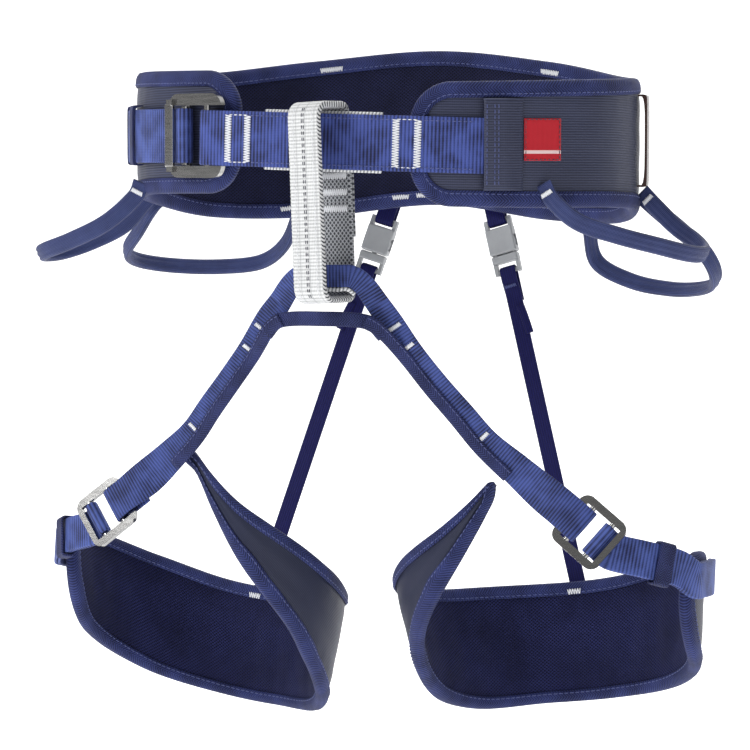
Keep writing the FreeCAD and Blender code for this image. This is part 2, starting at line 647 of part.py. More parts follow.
def leg_buckle(side):
    origin, along, out = leg_buckle_axes(side)
    plate = box(-19.5, 19.5, -19.5, 19.5, -1.6, 1.6)
    plate = plate.makeFillet(7.0, [e for e in plate.Edges if abs(e.Vertexes[0].Z - e.Vertexes[-1].Z) > 1])
    plate = plate.cut(box(-13.5, 15.2, -14.0, 14.0, -5, 5))
    bars = [Part.makeCylinder(BAR_RADIUS, 29.0, V(s * LEG_BAR, -14.5, 0), V(0, 1, 0)) for s in (1, -1)]
    return placed(plate.fuse(bars).removeSplitter(), origin, along, out)


def keeper_ring(origin, along, out, length, width, depth):
    outside = box(-length / 2, length / 2, -width / 2, width / 2, -depth / 2, depth / 2)
    inside = box(-length, length, -width / 2 + 1.2, width / 2 - 1.2, -depth / 2 + 1.2, depth / 2 - 1.2)
    return placed(outside.cut(inside), origin, along, out)


def leg_keepers(side):
    mid = WEB_OFFSET + (LAYER_STEP + 0.2) / 2
    rings = []
    first = mirrored(side, (217.5, -61.5, -282.5)) + unit(mirrored(side, (0.75, -0.65, 0.1))) * 1.3
    rings.append(keeper_ring(first, mirrored(side, (0.70, 0.66, -0.28)), mirrored(side, (0.72, -0.69, 0.1)),
                             8.0, 29.0, 9.8))
    return Part.makeCompound(rings)


# ---------------------------------------------------------------- rear straps and their release buckles
REAR_TOP = (38.0, 127.0, -40.0)
REAR_AIM = (125.0, 74.0, -336.0)
REAR_LENGTH = {LEFT: 314.0, RIGHT: 304.0}
REAR_WIDTH = 12.0
ELASTIC_THICK = 1.6
PRONG_PIVOT = (6.7, 46.0)


def rear_axes(side):
    top, aim = mirrored(side, REAR_TOP), mirrored(side, REAR_AIM)
    down = unit(aim - top)
    back = V(0, 1, 0)
    back = unit(back - down * down.dot(back))
    return top, down.cross(back), down, back


def on_rear(side, shape):
    """Place a shape drawn with X across the strap, Y down it and Z to the rear."""
    top, across, _, back = rear_axes(side)
    return placed(shape, top, across, back)


def strap_profile(points, radii, thickness, width):
    """Webbing drawn as (down, back) points, extruded across the strap."""
    face = strip_face([V(a, b, 0) for a, b in points], radii, thickness)
    solid = face.extrude(V(0, 0, width))
    solid.translate(V(0, 0, -width / 2))
    across_first = FreeCAD.Placement(FreeCAD.Matrix(0, 0, 1, 0, 1, 0, 0, 0, 0, 1, 0, 0, 0, 0, 0, 1))
    solid.Placement = across_first.multiply(solid.Placement)
    return solid


def release_buckle_female():
    body = box(-10.5, 10.5, 26, 46, -4.2, 4.2)
    body = body.makeFillet(1.6, body.Edges)
    body = body.cut(box(-8.7, 8.7, 30, 47, -2.6, 2.6))
    body = body.cut(box(-11, 11, 33, 42, -2.6, 2.6))
    arms = [box(min(s * 7.6, s * 10.4), max(s * 7.6, s * 10.4), 19, 27, -2.0, 2.0) for s in (1, -1)]
    bar = Part.makeCylinder(1.7, 20.0, V(-10.0, 20.8, 0), V(1, 0, 0))
    return body.fuse(arms + [bar]).removeSplitter()


def release_buckle_male():
    base = box(-10, 10, 46.6, 52.5, -3.7, 3.7)
    base = base.makeFillet(1.4, base.Edges)
    pin = box(-1.4, 1.4, 33, 47.5, -1.8, 1.8)
    rails = [box(min(s * 7.4, s * 10.0), max(s * 7.4, s * 10.0), 51, 61, -1.9, 1.9) for s in (1, -1)]
    bar = Part.makeCylinder(1.7, 19.0, V(-9.5, 59.0, 0), V(1, 0, 0))
    return base.fuse([pin, bar] + rails).removeSplitter()


def release_prong(hand):
    arm = box(5.6, 7.8, 36, 46.1, -2.1, 2.1)
    head = box(5.6, 9.6, 34.6, 41.0, -2.1, 2.1)
    head = head.makeFillet(1.0, [e for e in head.Edges if abs(e.Vertexes[0].Z - e.Vertexes[-1].Z) > 1
                                 and e.Vertexes[0].X > 9])
    prong = arm.fuse(head).removeSplitter()
    if hand < 0:
        prong = prong.mirror(V(0, 0, 0), V(1, 0, 0))
    return prong


def rear_strap(side):
    name = SIDE_NAME[side]
    turn = 1.7 + 0.4 + ELASTIC_THICK / 2
    upper = [(-2, turn), (20.8 + turn, turn), (20.8 + turn, -turn), (5, -turn)]
    lower = [(82, turn), (59.0 - turn, turn), (59.0 - turn, -turn), (66, -turn), (76, -0.6), (REAR_LENGTH[side], 0)]
    parts = {"rear_strap_upper_": strap_profile(upper, [turn, turn], ELASTIC_THICK, 14.0),
             "rear_strap_elastic_": strap_profile(lower, [turn, turn, 12.0, 20.0], ELASTIC_THICK, REAR_WIDTH),
             "release_buckle_female_": release_buckle_female(),
             "release_buckle_male_": release_buckle_male(),
             "release_prong_inner_": release_prong(-side),
             "release_prong_outer_": release_prong(side)}
    return {key + name: on_rear(side, shape) for key, shape in parts.items()}


# ---------------------------------------------------------------- gear loops
GEAR_WIDTH, GEAR_THICK = 12.0, 6.5
GEAR_LOOPS = {
    "gear_loop_front_left": [(-163, -62, -40), (-183, -66, -58), (-212, -62, -71), (-238, -51, -79),
                             (-250, -31, -82), (-245, -9, -81), (-228, 5, -74), (-206, 13, -62), (-192, 17, -46)],
    "gear_loop_rear_left": [(-190, 31, -48), (-207, 42, -66), (-226, 62, -82), (-230, 90, -90), (-212, 118, -95),
                            (-180, 137, -96), (-150, 141, -92), (-126, 128, -78), (-108, 110, -54)],
    "gear_loop_front_right": [(146, -80, -40), (165, -83, -55), (190, -75, -64), (212, -57, -71), (229, -32, -77),
                              (232, -8, -77), (222, 8, -70), (206, 15, -60), (192, 13, -46)],
    "gear_loop_rear_right": [(191, 27, -50), (207, 32, -64), (220, 40, -78), (224, 54, -91), (218, 76, -101),
                             (201, 98, -106), (176, 115, -107), (145, 124, -102), (120, 121, -88),
                             (117, 105, -58)],
}


def gear_loop(points):
    run = [V(*p) for p in points]
    centre = V(sum(p.x for p in run), sum(p.y for p in run), sum(p.z for p in run)) * (1.0 / len(run))
    tilt = unit((run[len(run) // 2] - centre).cross(run[0] - run[-1]))
    half_w, half_t = GEAR_WIDTH / 2, GEAR_THICK / 2
    sections = []
    for i, point in enumerate(run):
        along = unit(run[min(i + 1, len(run) - 1)] - run[max(i - 1, 0)])
        wide = unit(tilt - along * tilt.dot(along))
        thick = wide.cross(along)
        sections.append(wire([point + wide * (half_w * a) + thick * (half_t * b) for a, b in
                              ((1, 0.4), (0.6, 1), (-0.6, 1), (-1, 0.4), (-1, -0.4), (-0.6, -1), (0.6, -1),
                               (1, -0.4))]))
    return loft(sections)


# ---------------------------------------------------------------- output
def write(nodes):
    os.makedirs("parts", exist_ok=True)
    for name, shape in nodes.items():
        shape.exportStep("parts/" + name + ".step")
        print(name, shape.ShapeType, "valid", shape.isValid(), "solids", len(shape.Solids),
              "volume", round(shape.Volume), flush=True)


nodes = {}
nodes.update(waist_pad())
nodes["waist_webbing"] = waist_webbing()
nodes["adjusting_webbing"] = adjusting_webbing()
nodes.update(belt_trim())
nodes.update(waist_buckle())
nodes.update(belay_loop())
nodes.update(leg_bridge())
for side in (LEFT, RIGHT):
    name = SIDE_NAME[side]
    nodes.update(leg_pad(side))
    strap, binding = leg_strap(side)
    nodes["leg_strap_" + name] = strap
    nodes["leg_strap_binding_" + name] = binding
    nodes["leg_adjusting_webbing_" + name] = leg_adjuster(side)
    nodes["leg_buckle_frame_" + name] = leg_buckle(side)
    nodes["leg_tail_keeper_" + name] = leg_keepers(side)
    nodes.update(rear_strap(side))
for name, points in GEAR_LOOPS.items():
    nodes[name] = gear_loop(points)
write(nodes)
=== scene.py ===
import math
import bmesh
import bpy
import numpy as np
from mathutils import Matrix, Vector


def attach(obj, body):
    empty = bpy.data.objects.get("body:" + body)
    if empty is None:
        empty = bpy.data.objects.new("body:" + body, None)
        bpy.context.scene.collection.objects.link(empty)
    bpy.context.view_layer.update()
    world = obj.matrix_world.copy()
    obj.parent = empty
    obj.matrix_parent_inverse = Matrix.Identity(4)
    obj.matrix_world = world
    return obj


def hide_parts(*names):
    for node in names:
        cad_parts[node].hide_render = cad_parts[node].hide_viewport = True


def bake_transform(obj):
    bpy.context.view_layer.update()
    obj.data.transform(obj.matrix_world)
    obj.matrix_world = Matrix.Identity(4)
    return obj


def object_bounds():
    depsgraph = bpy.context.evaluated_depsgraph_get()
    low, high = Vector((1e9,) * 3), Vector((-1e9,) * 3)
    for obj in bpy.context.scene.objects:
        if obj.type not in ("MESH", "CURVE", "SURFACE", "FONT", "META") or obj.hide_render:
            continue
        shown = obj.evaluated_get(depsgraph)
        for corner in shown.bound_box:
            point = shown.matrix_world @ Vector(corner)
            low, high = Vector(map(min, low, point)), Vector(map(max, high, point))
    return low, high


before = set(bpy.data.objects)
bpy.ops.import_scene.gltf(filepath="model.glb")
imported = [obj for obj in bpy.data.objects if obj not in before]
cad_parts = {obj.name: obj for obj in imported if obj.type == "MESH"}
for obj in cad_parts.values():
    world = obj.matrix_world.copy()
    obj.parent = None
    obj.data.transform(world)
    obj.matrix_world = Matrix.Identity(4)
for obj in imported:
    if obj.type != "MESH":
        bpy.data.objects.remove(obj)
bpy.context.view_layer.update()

# Lengths in this script are millimetres until a mesh is made; angles are degrees.
MM = 0.001
LEFT, RIGHT = -1, 1
SIDE_NAME = {LEFT: "left", RIGHT: "right"}
UP = np.array((0.0, 0.0, 1.0))
FRONT = np.array((0.0, -1.0, 0.0))

# ---- the harness's dimensions, as in the CAD ----
# Half axes of the waist pad in plan, then rows of angle from the front, top edge and bottom edge.
WAIST_A, WAIST_B = 177.0, 117.0
WAIST_EDGES = [(19, 37, -45), (45, 38, -46), (90, 41, -48), (120, 44, -59), (150, 56, -58),
               (180, 65, -48), (210, 58, -57), (240, 49, -57), (270, 47, -46), (300, 47, -39), (339, 46, -37)]
WAIST_TIP_RADIUS = 28.0
WEBBING_WIDTH, WEBBING_THICK = 37.0, 2.0
WEBBING_FALL, WEBBING_Z = 0.03, -2.0
FOAM_EDGE, FOAM_MIDDLE, SKIN, LAYER_GAP = 1.2, 3.0, 1.0, 0.35
EDGE_TAPER, CORE_INSET = 16.0, 3.2
BINDING_FOLD, BINDING_LIP, LEG_LIP, BINDING_EASE = 1.6, 11.0, 9.0, 0.7
TIE_IN_Y = -127.0
BELAY_WIDTH, BELAY_THICK, BELAY_DEPTH, BELAY_TOP, BELAY_BOTTOM = 26.0, 4.2, 37.0, 24.0, -109.5
BELAY_FRONT_CORNER, BELAY_REAR_CORNER, BELAY_TURN, BELAY_LEAN = 11.0, 7.5, -15.0, -2.5
# Rows of angle from the inner thigh, upper radius and height, lower radius and height.
LEG_CENTRE = (128.0, -20.0)
LEG_START = {LEFT: -81, RIGHT: -73}
LEG_END = 190
LEG_EDGES = [(-82, 66, -209, 66, -223), (-73, 67.4, -216, 67.4, -230), (-64, 75, -230, 76, -255),
             (-52, 88, -249, 88, -291), (-40, 96, -264, 91, -317), (-27, 102, -280, 90, -341),
             (-14, 105, -297, 87, -366), (8, 100, -318, 83, -395), (38, 90, -328, 80, -413),
             (75, 83, -330, 82, -416), (105, 86, -324, 85, -411), (135, 95, -307, 93, -397),
             (160, 102, -289, 99, -374), (190, 101, -274, 99, -338)]
LEG_LEAN = {LEFT: (0.0, 0.0), RIGHT: (4.0, 0.17)}
LEG_TIP_INNER, LEG_TIP_UPPER, LEG_TIP_LOWER = 6.9, 28.0, 34.0
LEG_WEB_THICK, BAR_RADIUS = 2.0, 2.0
WEB_OFFSET, WEB_GAP = 7.6, 0.4
LAYER_STEP = WEBBING_THICK + WEB_GAP
BUCKLE_ANGLE, BUCKLE_OFFSET, FRAME_BAR, FLOAT_BAR, FLOAT_TURN = -31.0, 11.2, 10.0, -11.0, 4.4
BRIDGE = [(0, -126, -91.3), (9, -125.6, -91.2), (18, -123.6, -91.6), (26, -119.6, -97.6), (35, -114.6, -110),
          (44, -110.5, -122)]
ARCH_SHIFT = 4.5
BRIDGE_WIDTHS = [15.0, 15.0, 15.0, 15.5, 16.5, 17.5]
CROSS_STRAP = [(0, -123.5, -120), (22, -121.5, -120.5), (34, -119.2, -123), (42, -117.6, -131)]
STRAP = [(45.9, -109.8, -124.6), (58, -107.5, -143), (74.5, -104, -164), (90.5, -99.5, -183),
         (106, -94.5, -202), (125, -90, -219), (142, -88.3, -233.5)]
STRAP_WIDTHS = [17.5, 17.5, 17.5, 18, 19, 22, 25, 25]
LEG_BUCKLE = (175.0, -86.0, -260.0)
LEG_BUCKLE_ALONG = (0.787, -0.049, -0.615)
LEG_BUCKLE_OUT = (0.152, -0.950, 0.270)
LEG_BAR = 8.6
LEG_TURN = BAR_RADIUS + 0.6 + LEG_WEB_THICK / 2
REAR_TOP, REAR_AIM = (38.0, 127.0, -40.0), (125.0, 74.0, -336.0)
REAR_LENGTH = {LEFT: 314.0, RIGHT: 304.0}
ELASTIC_THICK = 1.6
CLIP_BAR_RADIUS, CLIP_GAP, FEMALE_BAR, MALE_BAR = 1.7, 0.4, 20.8, 59.0
CLIP_TURN = CLIP_BAR_RADIUS + CLIP_GAP + ELASTIC_THICK / 2
GEAR_WIDTH, GEAR_THICK = 12.0, 6.5
GEAR_LOOPS = {
    "gear_loop_front_left": [
        (-163, -62, -40), (-183, -66, -58), (-212, -62, -71), (-238, -51, -79), (-250, -31, -82),
        (-245, -9, -81), (-228, 5, -74), (-206, 13, -62), (-192, 17, -46)],
    "gear_loop_rear_left": [
        (-190, 31, -48), (-207, 42, -66), (-226, 62, -82), (-230, 90, -90), (-212, 118, -95),
        (-180, 137, -96), (-150, 141, -92), (-126, 128, -78), (-108, 110, -54)],
    "gear_loop_front_right": [
        (146, -80, -40), (165, -83, -55), (190, -75, -64), (212, -57, -71), (229, -32, -77),
        (232, -8, -77), (222, 8, -70), (206, 15, -60), (192, 13, -46)],
    "gear_loop_rear_right": [
        (191, 27, -50), (207, 32, -64), (220, 40, -78), (224, 54, -91), (218, 76, -101),
        (201, 98, -106), (176, 115, -107), (145, 124, -102), (120, 121, -88), (117, 105, -58)],
}

# ---- how the cloth, thread and staging are made ----
CORNER_SHARE = 0.42                     # of the shorter run beside a corner that its arc may take
TACK_RADIUS, STRAND_SIDES = 0.42, 6
# The edge tape: shares of the lip from its sewn edge to the fold, and how far it stands off there.
TAPE_PLACES = (1.0, 0.93, 0.8, 0.62, 0.44, 0.28, 0.14, 0.05)
TAPE_SWELL = (0.15, 0.9, 1.35, 1.75, 1.9, 1.75, 1.15, 0.35)
CLOTH_FRAMES, CLOTH_PRESSURE, SWELL_OUT, SWELL_IN = 20, 4.0, 1.0, 2.2
PUCKER_PITCH, PUCKER_DEPTH, RIPPLE_DEPTH = 13.0, 0.28, 0.32
ON_WEBBING = 1.05                       # from the middle of webbing to thread on its face
LENS, SENSOR = 150.86, 36.0
CAMERA_PLACE, CAMERA_TARGET = (0.7483, -2.0754, -0.0113), (-0.0023, -0.0131, -0.1648)
WORLD_LIGHT, PAPER_GLOW = 0.24, 0.7


# ---------------------------------------------------------------- vector helpers
def vec(*numbers):
    return np.array(numbers, float)


def unit(v):
    v = np.asarray(v, float)
    return v / np.maximum(np.linalg.norm(v, axis=-1, keepdims=True), 1e-12)


def hermite(knots, rows, at):
    """Smooth values of a table's columns at positions at."""
    knots, rows, at = np.asarray(knots, float), np.asarray(rows, float), np.atleast_1d(at)
    slopes = np.empty_like(rows)
    slopes[0] = (rows[1] - rows[0]) / (knots[1] - knots[0])
    slopes[-1] = (rows[-1] - rows[-2]) / (knots[-1] - knots[-2])
    slopes[1:-1] = (rows[2:] - rows[:-2]) / (knots[2:] - knots[:-2])[:, None]
    i = np.clip(np.searchsorted(knots, at, side="left") - 1, 0, len(knots) - 2)
    span = (knots[i + 1] - knots[i])[:, None]
    f = (at - knots[i])[:, None] / span
    return (rows[i] * (2 * f ** 3 - 3 * f ** 2 + 1) + slopes[i] * span * (f ** 3 - 2 * f ** 2 + f)
            + rows[i + 1] * (3 * f ** 2 - 2 * f ** 3) + slopes[i + 1] * span * (f ** 3 - f ** 2))


def lengths(points):
    """Distance along a line of points at each of them."""
    return np.concatenate(([0.0], np.cumsum(np.linalg.norm(np.diff(points, axis=0), axis=1))))


def spline(rows, step):
    """A smooth run through rows, whose first three columns are places, sampled about every step."""
    rows = np.asarray(rows, float)
    knots = lengths(rows[:, :3])
    count = max(2, int(round(knots[-1] / step)) + 1)
    return hermite(knots, rows, np.linspace(0, knots[-1], count))


def rounded_path(points, radii, step):
    """Straight runs joined by arcs, sampled about every step."""
    points = [np.asarray(p, float) for p in points]
    out = [points[0]]
    for before, here, after, radius in zip(points, points[1:], points[2:], radii):
        a, b = unit(here - before), unit(after - here)
        turn = math.acos(max(-1.0, min(1.0, float(a @ b))))
        if turn < 1e-4:
            continue
        reach = radius * math.tan(turn / 2)
        inward = unit(b - a * (a @ b))
        start = here - a * reach
        centre = start + inward * radius
        for t in np.linspace(0, turn, max(4, int(turn * radius / step) + 2)):
            out.append(centre - inward * radius * math.cos(t) + a * radius * math.sin(t))
    out.append(points[-1])
    out = np.array(out)
    out = out[np.concatenate(([True], np.linalg.norm(np.diff(out, axis=0), axis=1) > 1e-3))]
    at = lengths(out)
    fine = np.linspace(0, at[-1], max(2, int(at[-1] / step) + 1))
    return np.stack([np.interp(fine, at, out[:, k]) for k in range(3)], axis=1)


def easy_radii(points):
    """Arc radii that suit the runs on either side of each corner."""
    radii = []
    for before, here, after in zip(points, points[1:], points[2:]):
        a, b = here - before, after - here
        turn = abs(math.atan2(a[0] * b[1] - a[1] * b[0], a @ b))
        radii.append(CORNER_SHARE * min(np.linalg.norm(a), np.linalg.norm(b)) / max(math.tan(turn / 2), 1e-3))
    return radii


def along_of(points, closed=False):
    if closed:
        return unit(np.roll(points, -1, axis=0) - np.roll(points, 1, axis=0))
    return unit(np.gradient(points, axis=0))


# ---------------------------------------------------------------- materials
def srgb(red, green, blue):
    def linear(c):
        c /= 255
        return c / 12.92 if c <= 0.04045 else ((c + 0.055) / 1.055) ** 2.4
    return (linear(red), linear(green), linear(blue), 1.0)


class Finish:
    """A procedural material while its nodes are joined up."""

    def __init__(self, name, roughness, metallic=0.0, sheen=0.0, specular=0.4):
        self.material = bpy.data.materials.new(name)
        self.material.use_nodes = True
        self.tree = self.material.node_tree
        self.shader = self.tree.nodes["Principled BSDF"]
        self.shader.inputs["Roughness"].default_value = roughness
        self.shader.inputs["Metallic"].default_value = metallic
        self.shader.inputs["Sheen Weight"].default_value = sheen
        self.shader.inputs["Sheen Roughness"].default_value = 0.45
        self.shader.inputs["Specular IOR Level"].default_value = specular
        uv = self.node("UVMap")
        self.uv = uv.outputs[0]
        parts = self.node("SeparateXYZ", self.uv)
        self.u, self.v = parts.outputs[0], parts.outputs[1]

    def feed(self, socket, value):
        if isinstance(value, bpy.types.NodeSocket):
            self.tree.links.new(value, socket)
        else:
            socket.default_value = value

    def node(self, kind, *values, **settings):
        made = self.tree.nodes.new("ShaderNode" + kind)
        for key, value in settings.items():
            setattr(made, key, value)
        for socket, value in zip(made.inputs, values):
            self.feed(socket, value)
        return made

    def math(self, operation, a, b=0.0, c=0.0):
        return self.node("Math", a, b, c, operation=operation).outputs[0]

    def sum(self, *pairs):
        """Weighted sum of (weight, value) pairs."""
        total = 0.0
        for weight, value in pairs:
            total = self.math("MULTIPLY_ADD", value, weight, total)
        return total

    def wave(self, coordinate, pitch, sharp=1.0):
        """A smooth wave from 0 to 1 with the given pitch in millimetres."""
        wave = self.math("SINE", self.math("MULTIPLY", coordinate, 2 * math.pi / (pitch * MM)))
        wave = self.math("MULTIPLY_ADD", wave, 0.5, 0.5)
        return wave if sharp == 1.0 else self.math("POWER", wave, sharp)

    def fold(self, coordinate, width):
        return self.math("PINGPONG", coordinate, width * MM)

    def noise(self, scale, detail=3.0, where=None):
        made = self.tree.nodes.new("ShaderNodeTexNoise")
        self.feed(made.inputs["Vector"], self.uv if where is None else where)
        made.inputs["Scale"].default_value = scale
        made.inputs["Detail"].default_value = detail
        made.inputs["Roughness"].default_value = 0.55
        return made.outputs["Fac"]

    def stretched(self, x, y, z=1.0, where=None):
        made = self.node("Mapping", self.uv if where is None else where)
        made.inputs["Scale"].default_value = (x, y, z)
        return made.outputs[0]

    def above(self, value, level, soft):
        """0 below the level, 1 above it, over a soft edge."""
        made = self.node("MapRange", value, level - soft, level + soft, 0.0, 1.0)
        made.interpolation_type = "SMOOTHSTEP"
        return made.outputs[0]

    def mix(self, share, first, second):
        made = self.tree.nodes.new("ShaderNodeMix")
        made.data_type = "RGBA"
        self.feed(made.inputs[0], share)
        self.feed(made.inputs[6], first)
        self.feed(made.inputs[7], second)
        return made.outputs[2]

    def finish(self, colour, height=None, depth=0.3, strength=0.7, roughness=None):
        self.feed(self.shader.inputs["Base Color"], colour)
        if roughness is not None:
            self.feed(self.shader.inputs["Roughness"], roughness)
        if height is not None:
            bump = self.tree.nodes.new("ShaderNodeBump")
            bump.inputs["Strength"].default_value = strength
            bump.inputs["Distance"].default_value = depth * MM
            self.feed(bump.inputs["Height"], height)
            self.feed(self.shader.inputs["Normal"], bump.outputs[0])
        return self.material


def ribbed_webbing(name, dark, light, pitch, patch=0.35):
    """Flat webbing: ridges across the width, fine yarns along it and broad uneven patches; the ridges are
    painted lighter as highlight and the grooves between them darker as shade.
    """
    f = Finish(name, 0.6, sheen=0.06, specular=0.25)
    rib = f.wave(f.u, pitch, 0.8)
    yarns = f.wave(f.v, 1.1)
    broad = f.above(f.noise(55, 2.0), 0.5, 0.22)
    fine = f.noise(1500, 2.0)
    # Half of the tone follows the ridges: painted highlight on each ridge and painted shade in each groove.
    tone = f.sum((0.5, rib), (0.12, yarns), (patch, broad), (0.12, fine))
    colour = f.mix(f.above(tone, 0.55, 0.45), dark, light)
    return f.finish(colour, f.sum((0.8, rib), (0.25, yarns), (0.1, fine)), 0.45)


def twill_tape(name, dark, light, pitch=2.1, row=4.4):
    """Binding tape: fine slanting lines that change direction in rows, with painted highlight on the ridges
    of the lines and painted shade between them.
    """
    f = Finish(name, 0.7, sheen=0.05, specular=0.2)
    slant = f.math("ADD", f.u, f.fold(f.v, row))
    line = f.wave(slant, pitch)
    cross = f.wave(f.v, 0.8)
    broad = f.above(f.noise(42, 3.0), 0.52, 0.25)
    fine = f.noise(1700, 2.0)
    # Half of the tone follows the slanting lines: painted highlight on their ridges, painted shade between
    # them.
    tone = f.sum((0.5, line), (0.1, cross), (0.35, broad), (0.12, fine))
    colour = f.mix(f.above(tone, 0.55, 0.5), dark, light)
    return f.finish(colour, f.sum((0.8, line), (0.2, cross), (0.1, fine)), 0.5, 0.8)


def mesh_lining(name, base, light, hole_shade, pitch):
    """Knitted spacer mesh with staggered diamond holes, which are painted dark as shade."""
    f = Finish(name, 0.85, sheen=0.06, specular=0.15)
    knit = f.sum((1.0, f.wave(f.u, pitch)), (1.0, f.wave(f.v, pitch * 0.82)))
    knit = f.math("ABSOLUTE", f.math("SUBTRACT", knit, 1.0))
    holes = f.above(knit, 0.47, 0.2)
    broad = f.noise(30, 3.0)
    fine = f.noise(1400, 2.0)
    thread = f.mix(f.above(f.sum((0.6, broad), (0.4, fine)), 0.5, 0.2), base, light)
    # The holes take a near-black colour: painted shade inside them.
    colour = f.mix(holes, thread, hole_shade)
    height = f.math("SUBTRACT", f.sum((0.3, fine), (0.7, 1.0)), holes)
    return f.finish(colour, height, 0.55, 0.8)


def ripstop(name, dark, light):
    """Coated shell cloth: fine lines along it crossed by finer yarns."""
    f = Finish(name, 0.5, sheen=0.04, specular=0.3)
    line = f.wave(f.v, 1.7)
    grid = f.wave(f.u, 1.2)
    broad = f.noise(22, 3.0)
    fine = f.noise(900, 2.0)
    tone = f.sum((0.45, line), (0.1, grid), (0.3, broad), (0.15, fine))
    colour = f.mix(f.above(tone, 0.45, 0.4), dark, light)
    return f.finish(colour, f.sum((0.6, line), (0.15, grid), (0.2, fine), (0.9, f.noise(60, 2.0))), 0.35, 0.6)


def belay_face(name):
    """Off-white webbing with ribs, darker selvedges of slanting two-colour yarn."""
    f = Finish(name, 0.68, sheen=0.2)
    rib = f.wave(f.u, 2.3, 0.8)
    yarns = f.wave(f.v, 1.3)
    broad = f.noise(70, 3.0)
    tone = f.sum((0.45, rib), (0.25, yarns), (0.3, broad))
    body = f.mix(f.above(tone, 0.4, 0.45), srgb(150, 151, 152), srgb(222, 223, 224))
    side = f.math("ABSOLUTE", f.v)
    slant = f.above(f.wave(f.math("ADD", f.u, f.math("MULTIPLY", f.v, 1.2)), 2.6), 0.45, 0.12)
    edge = f.mix(slant, srgb(58, 60, 66), srgb(206, 207, 208))
    colour = f.mix(f.above(side, 0.0117, 0.0004), body, edge)
    grey = f.above(f.wave(f.v, 7.4), 0.93, 0.05)
    colour = f.mix(f.math("MULTIPLY", grey, 0.28), colour, srgb(120, 122, 126))
    return f.finish(colour, f.sum((0.8, rib), (0.4, yarns)), 0.4)


def belay_rear(name):
    """The loop's rear band: grey and dark chequered weave."""
    f = Finish(name, 0.72, sheen=0.2)
    across = f.wave(f.v, 3.2)
    along = f.wave(f.u, 3.6)
    check = f.math("ABSOLUTE", f.math("SUBTRACT", f.sum((1.0, across), (1.0, along)), 1.0))
    fine = f.noise(1300, 2.0)
    light = f.mix(fine, srgb(120, 123, 128), srgb(176, 178, 182))
    colour = f.mix(f.above(check, 0.42, 0.16), light, srgb(48, 50, 56))
    return f.finish(colour, f.sum((1.0, check), (0.2, fine)), 0.4)


def whipped_cord(name):
    """Off-white protector: slanting wrapped strands."""
    f = Finish(name, 0.66, sheen=0.2)
    strand = f.wave(f.math("ADD", f.u, f.math("MULTIPLY", f.v, 0.25)), 2.4, 0.6)
    fine = f.noise(900, 3.0)
    tone = f.sum((0.75, strand), (0.25, fine))
    colour = f.mix(f.above(tone, 0.45, 0.4), srgb(120, 122, 128), srgb(236, 237, 238))
    return f.finish(colour, f.sum((1.0, strand), (0.15, fine)), 0.7)


def label_cloth(name):
    """Woven red cloth with one plain pale band across its lower part."""
    f = Finish(name, 0.75, sheen=0.2)
    weft = f.wave(f.v, 0.7)
    warp = f.wave(f.u, 0.9)
    from_band = f.math("ABSOLUTE", f.math("ADD", f.v, 8.2 * MM))
    line = f.above(f.math("SUBTRACT", 1.1 * MM, from_band), 0.0, 0.15 * MM)
    red = f.mix(f.sum((0.5, weft), (0.5, warp)), srgb(150, 8, 26), srgb(200, 16, 38))
    return f.finish(f.mix(line, red, srgb(226, 196, 196)), f.sum((0.5, weft), (0.5, warp)), 0.15)


def elastic(name):
    f = Finish(name, 0.6, sheen=0.05, specular=0.2)
    lane = f.wave(f.v, 1.7, 0.7)
    braid = f.wave(f.math("ADD", f.u, f.fold(f.v, 0.85)), 1.5)
    tone = f.sum((0.5, lane), (0.3, braid), (0.2, f.noise(80, 2.0)))
    colour = f.mix(f.above(tone, 0.5, 0.5), srgb(5, 5, 50), srgb(14, 15, 86))
    return f.finish(colour, f.sum((0.8, lane), (0.4, braid)), 0.3)


def sleeve_weave(name):
    """Tubular webbing over the gear loops: small diagonal checks and lengthwise ridges."""
    f = Finish(name, 0.6, sheen=0.06, specular=0.25)
    one = f.wave(f.math("ADD", f.u, f.v), 1.8)
    two = f.wave(f.math("SUBTRACT", f.u, f.v), 1.8)
    weave = f.math("ABSOLUTE", f.math("SUBTRACT", f.sum((1.0, one), (1.0, two)), 1.0))
    broad = f.noise(60, 2.0)
    tone = f.sum((0.6, weave), (0.3, broad), (0.15, f.noise(1500, 2.0)))
    colour = f.mix(f.above(tone, 0.42, 0.4), srgb(16, 20, 50), srgb(64, 76, 128))
    return f.finish(colour, weave, 0.4)


def solid_coords(f):
    return f.node("TexCoord").outputs["Object"]


def steel(name, satin):
    """Stamped steel: drawn-out brushing, fine scratches and smudges in the gloss."""
    f = Finish(name, satin, metallic=1.0, specular=0.5)
    where = solid_coords(f)
    brush = f.noise(900, 4.0, f.stretched(0.06, 0.06, 1.0, where))
    smudge = f.noise(60, 3.0, where)
    scratch = f.above(f.noise(1500, 2.0, f.stretched(1.0, 0.05, 0.4, where)), 0.7, 0.03)
    colour = f.mix(f.sum((0.8, brush), (0.2, smudge)), srgb(146, 146, 146), srgb(182, 181, 179))
    rough = f.sum((0.1, brush), (0.05, smudge), (0.06, scratch), (satin - 0.08, 1.0))
    return f.finish(colour, f.sum((0.5, brush), (0.3, scratch)), 0.01, 0.1, rough)


def moulded(name, dark, light, rough=0.42):
    """Moulded plastic with a fine spark-eroded grain and slight mottling."""
    f = Finish(name, rough, specular=0.5)
    where = solid_coords(f)
    grain = f.noise(2600, 2.0, where)
    broad = f.noise(90, 3.0, where)
    colour = f.mix(f.sum((0.35, grain), (0.65, broad)), dark, light)
    return f.finish(colour, f.sum((1.0, grain), (0.3, broad)), 0.06, 0.5)


def thread(name, dark, light):
    f = Finish(name, 0.55, sheen=0.3)
    twist = f.wave(f.math("ADD", f.u, f.v), 0.8)
    return f.finish(f.mix(twist, dark, light), twist, 0.12)


